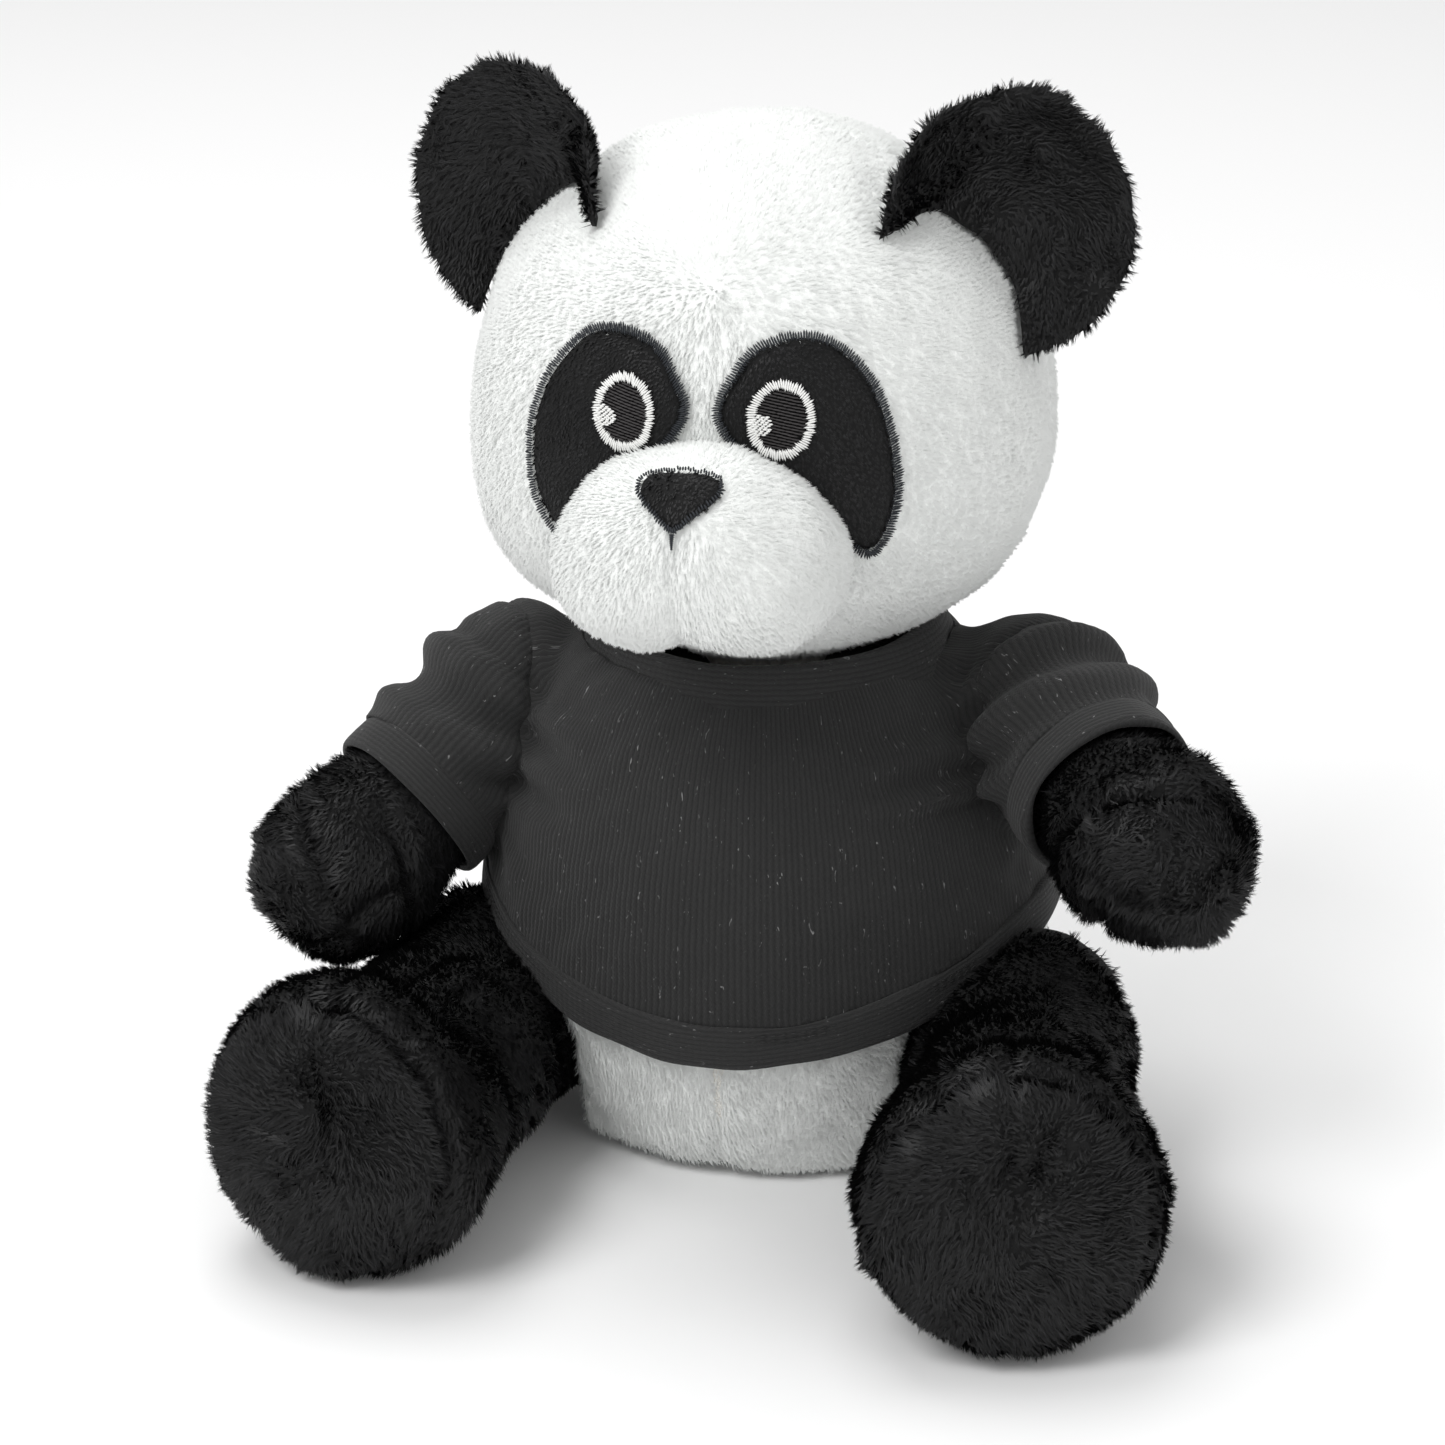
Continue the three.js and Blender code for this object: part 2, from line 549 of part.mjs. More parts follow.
function addLeg(name) {
  const { pivot, matrix } = LEGS[name];
  const body = jointGroup(toy, pivot);
  const half = SEAM / 2;
  const soleAt = LEG_LENGTH - SOLE_DEPTH;
  const toWorld = (solid) => moved(solid, matrix);
  const room = (grow) => cut(toWorld(legForm(grow)), below(-grow));
  const skin = cut(room(0), room(-PLUSH));
  const shaft = toWorld(meet(above(ROOT_OPENING), below(soleAt - SEAM)));
  const inward = toWorld(name === 'left' ? leftOf(half) : rightOf(-half));
  const outward = toWorld(name === 'left' ? rightOf(-half) : leftOf(half));
  piece(body, `leg_${name}_inner`, meet(skin, shaft, inward), 'blackPlush');
  piece(body, `leg_${name}_outer`, meet(skin, shaft, outward), 'blackPlush');
  piece(body, `foot_${name}_sole`, meet(skin, toWorld(above(soleAt))), 'blackPlush');
  piece(body, `leg_${name}_stuffing`, room(-PLUSH - SEAM), 'filling');
}

// ---------------------------------------------------------------- head

function addNeck() {
  const body = jointGroup(toy, NECK_PIVOT);
  piece(body, 'neck_stuffing', neckBall(0), 'filling');
  return body;
}

function addHead(neck) {
  const body = jointGroup(neck, NECK_PIVOT);
  const half = SEAM / 2;
  const seamPlane = -HEAD_FORWARD;
  const skin = cut(headForm(0), headForm(-PLUSH), neckBall(PLAY));
  const back = meet(skin, behind(seamPlane + half));
  piece(body, 'head_front', meet(skin, frontOf(seamPlane - half)), 'whitePlush');
  piece(body, 'head_back_left', meet(back, leftOf(half)), 'whitePlush');
  piece(body, 'head_back_right', meet(back, rightOf(-half)), 'whitePlush');
  piece(body, 'head_stuffing', cut(headForm(-PLUSH - SEAM), neckBall(PLAY)), 'filling');
  return body;
}

function addMuzzle(head) {
  const half = SEAM / 2;
  const skin = cut(muzzleForm(0), muzzleForm(-PLUSH), headForm(SEAM));
  piece(head, 'muzzle_left', meet(skin, leftOf(half)), 'whitePlush');
  piece(head, 'muzzle_right', meet(skin, rightOf(-half)), 'whitePlush');
  piece(head, 'muzzle_stuffing', cut(muzzleForm(-PLUSH - SEAM), headForm(SEAM)), 'filling');
}

const MUZZLE_ROOM = muzzleForm(SEAM);

/** Cloth or thread lying on the head's face, between two heights, inside an outline from the front. */
const onFace = (low, high, outline) => cut(meet(cut(headForm(high), headForm(low)), outline), MUZZLE_ROOM);

function addEyePatch(head, name, side) {
  const outline = lifted(mirrored(PATCH_OUTLINE, side), HEAD_CENTRE[2]);
  const patch = pushedThrough(outline, -PATCH_BORDER - SEAM);
  const border = cut(pushedThrough(outline, 0), pushedThrough(outline, -PATCH_BORDER));
  piece(head, `eye_patch_${name}`, onFace(SEAM, PATCH_TOP, patch), 'blackPlush');
  piece(head, `patch_border_${name}`, onFace(SEAM, PATCH_TOP + SEAM, border), 'blackThread');
}

function addEye(head, name, side) {
  const across = side * EYE.across;
  const up = HEAD_CENTRE[2] + EYE.up;
  const low = PATCH_TOP + SEAM;
  const high = low + EMBROIDERY;
  const ring = ellipse(across, up, EYE.wide / 2, EYE.tall / 2);
  const spot = ellipse(across + HIGHLIGHT.across, up + HIGHLIGHT.up, HIGHLIGHT.radius, HIGHLIGHT.radius);
  const spotForm = (grow) => pushedThrough(spot, grow, OUTLINE_STEPS / 2);
  const stroke = cut(pushedThrough(ring, 0), pushedThrough(ring, -EYE.thread), spotForm(SEAM));
  const iris = cut(pushedThrough(ring, -EYE.thread - SEAM), spotForm(SEAM));
  piece(head, `eye_ring_${name}`, onFace(low, high, stroke), 'whiteThread');
  piece(head, `iris_${name}`, onFace(low, high, iris), 'blackThread');
  piece(head, `highlight_${name}`, onFace(low, high, spotForm(0)), 'whiteThread');
}

function addNose(head) {
  const outline = lifted(NOSE_OUTLINE, MUZZLE_CENTRE[2]);
  const low = SEAM;
  const top = SEAM + EMBROIDERY;
  const layer = meet(cut(muzzleForm(top), muzzleForm(low)), frontOf(MUZZLE_CENTRE[1]));
  const patch = pushedThrough(outline, -NOSE_BORDER - SEAM);
  const border = cut(pushedThrough(outline, 0), pushedThrough(outline, -NOSE_BORDER));
  const tip = MUZZLE_CENTRE[2] + NOSE_OUTLINE[4][1];
  const thread = NOSE_BORDER / 2;
  const line = block([-thread, -FAR, tip - NOSE_STITCH], [thread, 0, tip + thread]);
  piece(head, 'nose_patch', meet(layer, patch), 'blackPlush');
  piece(head, 'nose_stitching', meet(layer, join(border, line)), 'blackThread');
}

// ---------------------------------------------------------------- ears

/** One cloth of an ear: a bowl between two heights, its rim turned forward. */
function bowl(low, high) {
  const steps = 6;
  const radii = Array.from({ length: steps + 1 }, (_, i) => (EAR_RADIUS * i) / steps);
  const side = (height) => radii.map((radius) => (
    new THREE.Vector2(radius, height - EAR_CUP * (radius / EAR_RADIUS) ** 2)
  ));
  return turned([...side(low), ...side(high).reverse()], LIMB_SIDES);
}

function addEar(head, name) {
  const place = EAR_PLACE[name];
  const outward = vector(place.side, -place.forward, place.rise);
  const centre = vector(...HEAD_CENTRE).add(outward);
  const turn = radians(place.turn);
  const back = vector(-Math.sin(turn), Math.cos(turn), 0);
  const radial = outward.clone().projectOnPlane(back).normalize();
  const across = back.clone().cross(radial);
  const matrix = new THREE.Matrix4().makeBasis(across, radial.clone().negate(), back).setPosition(centre);
  const hinge = centre.clone().addScaledVector(radial, -EAR_HINGE);
  const body = jointGroup(head, hinge);
  const passed = [-EAR_FOLD, 0, EAR_FOLD].map((fold) => swung(headForm(PLAY), hinge, across, fold));
  const trimmed = (solid) => cut(moved(solid, matrix), ...passed);
  const half = SEAM / 2;
  piece(body, `ear_${name}_back`, trimmed(bowl(half, EAR_THICK / 2)), 'blackPlush');
  piece(body, `ear_${name}_front`, trimmed(bowl(-EAR_THICK / 2, -half)), 'blackPlush');
}

// ---------------------------------------------------------------- assembly

addTorso();
addFilling();
addTail();
addLabel();
addShirt();
addCollar();
for (const name of Object.keys(ARMS)) addArm(name);
for (const name of Object.keys(LEGS)) addLeg(name);

const head = addHead(addNeck());
addMuzzle(head);
addNose(head);
for (const [name, side] of [['left', 1], ['right', -1]]) {
  addEyePatch(head, name, side);
  addEye(head, name, side);
  addEar(head, name);
}

export default toy;
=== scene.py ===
import json
import math
from contextlib import contextmanager

import bmesh
import bpy
import numpy as np
from bpy.props import FloatProperty, FloatVectorProperty, IntProperty, PointerProperty
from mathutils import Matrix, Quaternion, Vector


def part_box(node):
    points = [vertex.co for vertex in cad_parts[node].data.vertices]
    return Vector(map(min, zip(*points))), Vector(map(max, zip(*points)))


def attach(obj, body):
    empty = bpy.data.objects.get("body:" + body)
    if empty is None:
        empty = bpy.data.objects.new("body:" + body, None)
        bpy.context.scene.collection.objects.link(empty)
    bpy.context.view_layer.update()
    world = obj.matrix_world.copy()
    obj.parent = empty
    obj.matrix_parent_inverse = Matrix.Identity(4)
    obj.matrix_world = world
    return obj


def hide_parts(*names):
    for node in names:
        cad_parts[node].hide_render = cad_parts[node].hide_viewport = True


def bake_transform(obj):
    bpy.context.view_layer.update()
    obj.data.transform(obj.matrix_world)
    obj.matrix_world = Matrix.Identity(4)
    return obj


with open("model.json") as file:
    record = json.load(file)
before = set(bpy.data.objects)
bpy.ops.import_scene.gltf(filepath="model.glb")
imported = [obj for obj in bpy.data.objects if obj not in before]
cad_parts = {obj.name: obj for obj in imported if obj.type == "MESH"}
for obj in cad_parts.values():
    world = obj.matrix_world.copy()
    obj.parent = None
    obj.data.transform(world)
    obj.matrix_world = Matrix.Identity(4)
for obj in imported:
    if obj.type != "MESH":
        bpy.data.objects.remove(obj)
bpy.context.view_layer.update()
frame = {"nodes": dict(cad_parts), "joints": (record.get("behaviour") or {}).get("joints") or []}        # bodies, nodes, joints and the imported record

bl_info = {
    "name": "Plush panda workshop",
    "version": (1, 0, 0),
    "blender": (4, 5, 0),
    "location": "3D View > Sidebar > Plush panda",
    "description": "Sews, stuffs, combs and dresses a seated plush panda around its CAD frame",
    "category": "Add Mesh",
}

# Shapes below are worked out in millimetres and become metres when a mesh is made.
MM = 0.001
DOWN = (0.0, 0.0, -1.0)
SIDES = {"left": 1, "right": -1}
JOINTS = {joint["name"]: joint for joint in frame["joints"]}


def linear(hex_colour):
    """An sRGB hex colour as linear red, green and blue."""
    channels = [int(hex_colour[i:i + 2], 16) / 255 for i in (1, 3, 5)]
    return [c / 12.92 if c <= 0.04045 else ((c + 0.055) / 1.055) ** 2.4 for c in channels]


def colour_property(name, hex_colour, description):
    return FloatVectorProperty(
        name=name, description=description, default=linear(hex_colour),
        subtype="COLOR", size=3, min=0, max=1,
    )


def length_property(name, millimetres, description):
    return FloatProperty(
        name=name, description=description, default=millimetres * MM,
        min=0, subtype="DISTANCE", unit="LENGTH",
    )


# ---------------------------------------------------------------- settings

class PandaPileSettings(bpy.types.PropertyGroup):
    white: colour_property("White plush", "#f2f4f2", "Pile of the head, muzzle and belly")
    black: colour_property("Black plush", "#101011", "Pile of the ears, arms, legs and chest")
    white_length: length_property("White pile", 1.8, "Length of the white pile")
    black_length: length_property("Black pile", 2.6, "Length of the black pile")
    patch_length: length_property("Patch pile", 1.0, "Length of the pile on the eye patches")
    density: FloatProperty(
        name="Tufts", description="Tufts on each square millimetre", default=2.0, min=0.1
    )
    seed: IntProperty(name="Seed", description="Fixes where the tufts fall", default=7)


class PandaShirtSettings(bpy.types.PropertyGroup):
    jersey: colour_property("Jersey", "#232323", "Knitted shirt cloth")
    lint: colour_property("Lint", "#8a8a8a", "Loose fibres caught in the knit")
    wale: length_property("Wale", 1.25, "Distance between two columns of knit stitches")
    fold: length_property("Folds", 2.3, "Height of the folds that fan out from the armpits")
    cloth: length_property("Cloth", 0.7, "Thickness of the jersey")


class PandaFaceSettings(bpy.types.PropertyGroup):
    black_thread: colour_property("Black thread", "#1b2026", "Satin borders and the nose")
    iris_thread: colour_property("Iris thread", "#2e2b2b", "Embroidered irises")
    white_thread: colour_property("White thread", "#eeeeec", "Eye rings and highlights")
    spacing: length_property("Stitch spacing", 0.47, "Distance between two satin stitches")


class PandaStageSettings(bpy.types.PropertyGroup):
    floor: colour_property("Floor", "#fbfbfb", "Floor sheet")
    distance: length_property("Camera distance", 800, "From the camera to its target")
    azimuth: FloatProperty(name="Azimuth", description="Turn to the panda's left",
                           default=math.radians(13), subtype="ANGLE", unit="ROTATION")
    elevation: FloatProperty(name="Elevation", description="Angle above the horizon",
                             default=math.radians(22), subtype="ANGLE", unit="ROTATION")
    roll: FloatProperty(name="Roll", description="Camera turned clockwise",
                        default=math.radians(-1.1), subtype="ANGLE", unit="ROTATION")
    lens: FloatProperty(name="Lens", description="Focal length in millimetres", default=100.05)


# ---------------------------------------------------------------- numbers and surfaces

def unit(vectors):
    return vectors / np.maximum(np.linalg.norm(vectors, axis=-1, keepdims=True), 1e-9)


def ease(values, low, high):
    """0 below low, 1 above high, smooth in between."""
    share = np.clip((np.asarray(values, float) - low) / (high - low), 0, 1)
    return share * share * (3 - 2 * share)


def bump(distance, width):
    """A rounded hump, 1 where the distance is nought and fading over a width."""
    return np.exp(-((np.asarray(distance) / width) ** 2))


def ripple(points, scale, seed, waves=9):
    """Smooth seeded noise of about unit height, its features a scale apart."""
    draw = np.random.default_rng(seed)
    total = np.zeros(len(points))
    for _ in range(waves):
        way = unit(draw.normal(size=3)) * (2 * math.pi / scale) * draw.uniform(0.6, 1.5)
        total += np.sin(points @ way + draw.uniform(0, 2 * math.pi))
    return total / math.sqrt(waves)


def spline(points, count, closed=False):
    """A smooth line through a few points, as count evenly parted points."""
    points = np.asarray(points, float)
    if closed:
        padded = np.vstack([points[-1:], points, points[:2]])
        spans = len(points)
    else:
        padded = np.vstack([2 * points[0] - points[1], points, 2 * points[-1] - points[-2]])
        spans = len(points) - 1
    fine = []
    for i in range(spans):
        a, b, c, d = padded[i:i + 4]
        for t in np.arange(16) / 16:
            fine.append(0.5 * (2 * b + (c - a) * t + (2 * a - 5 * b + 4 * c - d) * t ** 2
                               + (3 * b - a - 3 * c + d) * t ** 3))
    fine.append(padded[spans + 1] if not closed else fine[0])
    fine = np.array(fine)
    along = np.concatenate([[0], np.cumsum(np.linalg.norm(np.diff(fine, axis=0), axis=1))])
    wanted = np.linspace(0, along[-1], count, endpoint=not closed)
    return np.stack([np.interp(wanted, along, fine[:, k]) for k in range(fine.shape[1])], 1)


def set_in(line, distance):
    """A profile of radius and height moved inward, square to itself."""
    way = unit(np.gradient(line, axis=0))
    moved = line + np.stack([-way[:, 1], way[:, 0]], 1) * distance
    moved[:, 0] = np.maximum(moved[:, 0], 0)
    moved[[0, -1], 0] = 0
    return moved


def around(count):
    return np.arange(count) * 2 * math.pi / count


def placed(name, data):
    """A new object in the scene."""
    made = bpy.data.objects.new(name, data)
    bpy.context.scene.collection.objects.link(made)
    return made


def smoothed(mesh):
    mesh.polygons.foreach_set("use_smooth", [True] * len(mesh.polygons))


def make_mesh(name, points, faces):
    """A new object from points in millimetres."""
    mesh = bpy.data.meshes.new(name)
    mesh.from_pydata((np.asarray(points) * MM).tolist(), [], faces)
    mesh.validate()
    smoothed(mesh)
    made = placed(name, mesh)
    face_out(made)
    return made


@contextmanager
def opened(made):
    """A piece's mesh opened for editing, and written back."""
    work = bmesh.new()
    work.from_mesh(made.data)
    yield work
    work.to_mesh(made.data)
    work.free()


def face_out(made):
    """Turn a closed mesh's faces to point outward."""
    with opened(made) as work:
        bmesh.ops.recalc_face_normals(work, faces=work.faces)
        if work.calc_volume(signed=True) < 0:
            bmesh.ops.reverse_faces(work, faces=work.faces)


def capped(name, rings):
    """A closed skin from rings, the first and last of which are single points."""
    count, sides, _ = rings.shape
    points = [rings[0, 0], *rings[1:-1].reshape(-1, 3), rings[-1, 0]]
    last = len(points) - 1
    faces = []
    for i in range(sides):
        j = (i + 1) % sides
        faces.append((0, 1 + i, 1 + j))
        faces.append((last, last - sides + j, last - sides + i))
        for r in range(count - 3):
            a = 1 + r * sides
            faces.append((a + i, a + sides + i, a + sides + j, a + j))
    return make_mesh(name, points, faces)


def hooped(name, rings):
    """A closed band: every ring is a section, and the last joins the first."""
    count, sides, _ = rings.shape
    faces = []
    for r in range(count):
        for i in range(sides):
            j = (i + 1) % sides
            a, b = r * sides, ((r + 1) % count) * sides
            faces.append((a + i, b + i, b + j, a + j))
    return make_mesh(name, rings.reshape(-1, 3), faces)


def vectors_of(rows, key):
    flat = np.zeros(len(rows) * 3, np.float32)
    rows.foreach_get(key, flat)
    return flat.reshape(-1, 3).astype(float)


def points_of(made):
    return vectors_of(made.data.vertices, "co") / MM


def normals_of(made):
    return vectors_of(made.data.vertex_normals, "vector")


def put_points(made, points):
    made.data.vertices.foreach_set("co", (points * MM).astype(np.float32).ravel())
    made.data.update()


def push(made, distance):
    """Move every vertex along its normal by its own distance."""
    put_points(made, points_of(made) + normals_of(made) * np.asarray(distance)[:, None])


def store(made, name, values, kind="FLOAT"):
    layer = made.data.attributes.new(name, kind, "POINT")
    key = "vector" if kind == "FLOAT_VECTOR" else "value"
    layer.data.foreach_set(key, np.asarray(values, np.float32).ravel())


def settle(made):
    """Apply every modifier, leaving a plain mesh."""
    graph = bpy.context.evaluated_depsgraph_get()
    plain = bpy.data.meshes.new_from_object(made.evaluated_get(graph))
    made.modifiers.clear()
    old, made.data = made.data, plain
    plain.name = made.name
    bpy.data.meshes.remove(old)
    smoothed(plain)
    return made


def carve(made, tools, operation="DIFFERENCE"):
    """Cut a closed mesh with others, and remove those."""
    for tool in tools:
        cutter = made.modifiers.new("cut", "BOOLEAN")
        cutter.operation, cutter.solver, cutter.object = operation, "EXACT", tool
        settle(made)
        bpy.data.objects.remove(tool)
    return made


def remesh(made, voxel, smoothing):
    """Even out a mesh to a voxel size in millimetres, and relax it."""
    even = made.modifiers.new("even", "REMESH")
    even.mode, even.voxel_size = "VOXEL", voxel * MM
    relax = made.modifiers.new("relax", "SMOOTH")
    relax.factor, relax.iterations = 0.5, smoothing
    return settle(made)


def slice_off(made, point, normal):
    """Cut a mesh at a plane and drop what lies on the normal's side."""
    with opened(made) as work:
        everything = work.verts[:] + work.edges[:] + work.faces[:]
        bmesh.ops.bisect_plane(work, geom=everything, plane_co=Vector(point) * MM,
                               plane_no=Vector(normal), clear_outer=True)


def thicken(made, thickness):
    """Give an open sheet a wall, inward from its face."""
    wall = made.modifiers.new("wall", "SOLIDIFY")
    wall.thickness, wall.offset = thickness, -1
    settle(made)


def flatten(made, least):
    """Press a skin flat where it rests on the floor, and give its points."""
    points = points_of(made)
    points[:, 2] = np.maximum(points[:, 2], least)
    put_points(made, points)
    return points


def twin(made, name):
    copy = placed(name, made.data.copy())
    copy.data.name = name
    return copy


# ---------------------------------------------------------------- node trees

def add(tree, kind, inputs=(), **settings):
    """Add a node with its settings, and with values or links on its inputs."""
    node = tree.nodes.new(kind)
    for name, value in settings.items():
        setattr(node, name, value)
    for key, value in dict(inputs).items():
        if isinstance(value, bpy.types.NodeSocket):
            tree.links.new(value, node.inputs[key])
        else:
            node.inputs[key].default_value = value
    return node


def new_tree(name, inputs):
    """A geometry tree that takes a mesh and some named values."""
    tree = bpy.data.node_groups.new(name, "GeometryNodeTree")
    tree.interface.new_socket("Geometry", in_out="INPUT", socket_type="NodeSocketGeometry")
    for label, kind in inputs.items():
        tree.interface.new_socket(label, in_out="INPUT", socket_type="NodeSocket" + kind)
    tree.interface.new_socket("Geometry", in_out="OUTPUT", socket_type="NodeSocketGeometry")
    return tree, tree.nodes.new("NodeGroupInput"), tree.nodes.new("NodeGroupOutput")


def run_tree(name, base, tree, values):
    """A plain mesh made by a tree from a base mesh."""
    made = twin(base, name)
    modifier = made.modifiers.new("nodes", "NODES")
    modifier.node_group = tree
    for item in tree.interface.items_tree:
        if item.in_out == "INPUT" and item.name in values:
            modifier[item.identifier] = values[item.name]
    return settle(made)


def pile_tree():
    """Tufts of pile over a skin, each leaning the way the skin was combed."""
    tree, given, result = new_tree("combed pile", {
        "Tuft": "Object", "Density": "Float", "Length": "Float", "Seed": "Int",
        "Main": "Material", "Light": "Material", "Dark": "Material",
    })
    thick = add(tree, "GeometryNodeInputNamedAttribute", {"Name": "pile"}, data_type="FLOAT")
    comb = add(tree, "GeometryNodeInputNamedAttribute", {"Name": "comb"},
               data_type="FLOAT_VECTOR")
    density = add(tree, "ShaderNodeMath", {0: given.outputs["Density"], 1: thick.outputs[0]},
                  operation="MULTIPLY")
    scatter = add(tree, "GeometryNodeDistributePointsOnFaces", {
        "Mesh": given.outputs["Geometry"], "Density": density.outputs[0],
        "Seed": given.outputs["Seed"],
    }, distribute_method="RANDOM")
    keep = add(tree, "GeometryNodeStoreNamedAttribute", {
        "Geometry": scatter.outputs["Points"], "Name": "soft", "Value": scatter.outputs["Normal"],
    }, data_type="FLOAT_VECTOR", domain="POINT")
    stray = add(tree, "FunctionNodeRandomValue", {
        0: (-0.34, -0.34, -0.34), 1: (0.34, 0.34, 0.34), "Seed": given.outputs["Seed"],
    }, data_type="FLOAT_VECTOR")
    leaning = add(tree, "ShaderNodeVectorMath", {
        0: scatter.outputs["Normal"], 1: comb.outputs[0],
    }, operation="ADD")
    loose = add(tree, "ShaderNodeVectorMath", {
        0: leaning.outputs[0], 1: stray.outputs[0],
    }, operation="ADD")
    inward = add(tree, "ShaderNodeVectorMath", {0: scatter.outputs["Normal"], "Scale": -1},
                 operation="SCALE")
    stand = add(tree, "FunctionNodeAxesToRotation", {
        "Primary Axis": loose.outputs[0], "Secondary Axis": inward.outputs[0],
    }, primary_axis="Z", secondary_axis="Y")
    lift = add(tree, "FunctionNodeRandomValue", {2: 0.75, 3: 1.2, "Seed": 3}, data_type="FLOAT")
    height = add(tree, "ShaderNodeMath", {0: lift.outputs[1], 1: given.outputs["Length"]},
                 operation="MULTIPLY")
    shape = add(tree, "ShaderNodeCombineXYZ", {0: 1.0, 1: 1.0, 2: height.outputs[0]})
    tuft = add(tree, "GeometryNodeObjectInfo", {"Object": given.outputs["Tuft"]})
    plant = add(tree, "GeometryNodeInstanceOnPoints", {
        "Points": keep.outputs[0], "Instance": tuft.outputs["Geometry"],
        "Rotation": stand.outputs[0], "Scale": shape.outputs[0],
    })
    grown = add(tree, "GeometryNodeRealizeInstances", {0: plant.outputs[0]})
    soft = add(tree, "GeometryNodeInputNamedAttribute", {"Name": "soft"},
               data_type="FLOAT_VECTOR")
    normal = add(tree, "GeometryNodeSetMeshNormal", {
        "Mesh": grown.outputs[0], "Custom Normal": soft.outputs[0],
    }, mode="FREE", domain="POINT")
    last = normal.outputs[0]
    # Random tufts take the painted-sheen and painted-shade copies of the pile's material.
    for label, share, seed in (("Main", 1.0, 1), ("Light", 0.3, 2), ("Dark", 0.3, 5)):
        chosen = add(tree, "FunctionNodeRandomValue", {"Probability": share, "Seed": seed},
                     data_type="BOOLEAN")
        paint = add(tree, "GeometryNodeSetMaterial", {
            "Geometry": last, "Selection": chosen.outputs[3], "Material": given.outputs[label],
        })
        last = paint.outputs[0]
    tree.links.new(last, result.inputs[0])
    return tree


def stitch_tree():
    """Satin stitches on points, each lying across, facing up and as long as it is told."""
    tree, given, result = new_tree("satin stitches", {
        "Thread": "Float", "Height": "Float", "Material": "Material",
    })
    across = add(tree, "GeometryNodeInputNamedAttribute", {"Name": "across"},
                 data_type="FLOAT_VECTOR")
    up = add(tree, "GeometryNodeInputNamedAttribute", {"Name": "up"}, data_type="FLOAT_VECTOR")
    reach = add(tree, "GeometryNodeInputNamedAttribute", {"Name": "reach"}, data_type="FLOAT")
    points = add(tree, "GeometryNodeMeshToPoints", {"Mesh": given.outputs["Geometry"]})
    bead = add(tree, "GeometryNodeMeshUVSphere", {"Segments": 6, "Rings": 5, "Radius": 0.5})
    lie = add(tree, "FunctionNodeAxesToRotation", {
        "Primary Axis": across.outputs[0], "Secondary Axis": up.outputs[0],
    }, primary_axis="X", secondary_axis="Z")
    size = add(tree, "ShaderNodeCombineXYZ", {
        0: reach.outputs[0], 1: given.outputs["Thread"], 2: given.outputs["Height"],
    })
    lay = add(tree, "GeometryNodeInstanceOnPoints", {
        "Points": points.outputs[0], "Instance": bead.outputs["Mesh"],
        "Rotation": lie.outputs[0], "Scale": size.outputs[0],
    })
    sewn = add(tree, "GeometryNodeRealizeInstances", {0: lay.outputs[0]})
    smooth = add(tree, "GeometryNodeSetShadeSmooth", {"Geometry": sewn.outputs[0]})
    paint = add(tree, "GeometryNodeSetMaterial", {
        "Geometry": smooth.outputs[0], "Material": given.outputs["Material"],
    })
    tree.links.new(paint.outputs[0], result.inputs[0])
    return tree


# ---------------------------------------------------------------- materials

MATERIALS = {}
TREES = {}


def new_material(name, colour, roughness, **sockets):
    """A material with its uniform values set on the shader's own sockets."""
    made = bpy.data.materials.new(name)
    made.use_nodes = True
    shader = made.node_tree.nodes["Principled BSDF"]
    shader.inputs["Base Color"].default_value = (*colour, 1)
    shader.inputs["Roughness"].default_value = roughness
    shader.inputs["IOR"].default_value = 1.5
    for label, value in sockets.items():
        shader.inputs[label.replace("_", " ")].default_value = value
    made.diffuse_color = (*colour, 1)
    MATERIALS[name] = made
    return made.node_tree, shader


def shade(colour, factor):
    return [min(channel * factor, 1) for channel in colour]


def mottled(name, colour, roughness, near, far, depth, contrast=0.25, **sockets):
    """A cloth whose colour drifts over far millimetres and whose grain is near millimetres."""
    tree, shader = new_material(name, colour, roughness, **sockets)
    place = add(tree, "ShaderNodeTexCoord")
    drift = add(tree, "ShaderNodeTexNoise", {
        "Vector": place.outputs["Object"], "Scale": 1 / (far * MM), "Detail": 2.0,
    })
    grain = add(tree, "ShaderNodeTexNoise", {
        "Vector": place.outputs["Object"], "Scale": 1 / (near * MM), "Detail": 3.0,
    })
    both = add(tree, "ShaderNodeMath", {0: drift.outputs["Fac"], 1: grain.outputs["Fac"]},
               operation="ADD")
    ramp = add(tree, "ShaderNodeMapRange", {0: both.outputs[0], 1: 0.7, 2: 1.3})
    mixed = add(tree, "ShaderNodeMix", {
        "Factor": ramp.outputs[0], 6: (*shade(colour, 1 - contrast), 1),
        7: (*shade(colour, 1 + contrast * 0.5), 1),
    }, data_type="RGBA")
    relief = add(tree, "ShaderNodeBump", {
        "Height": grain.outputs["Fac"], "Distance": depth * MM, "Strength": 0.7,
    })
    tree.links.new(mixed.outputs[2], shader.inputs["Base Color"])
    tree.links.new(relief.outputs[0], shader.inputs["Normal"])


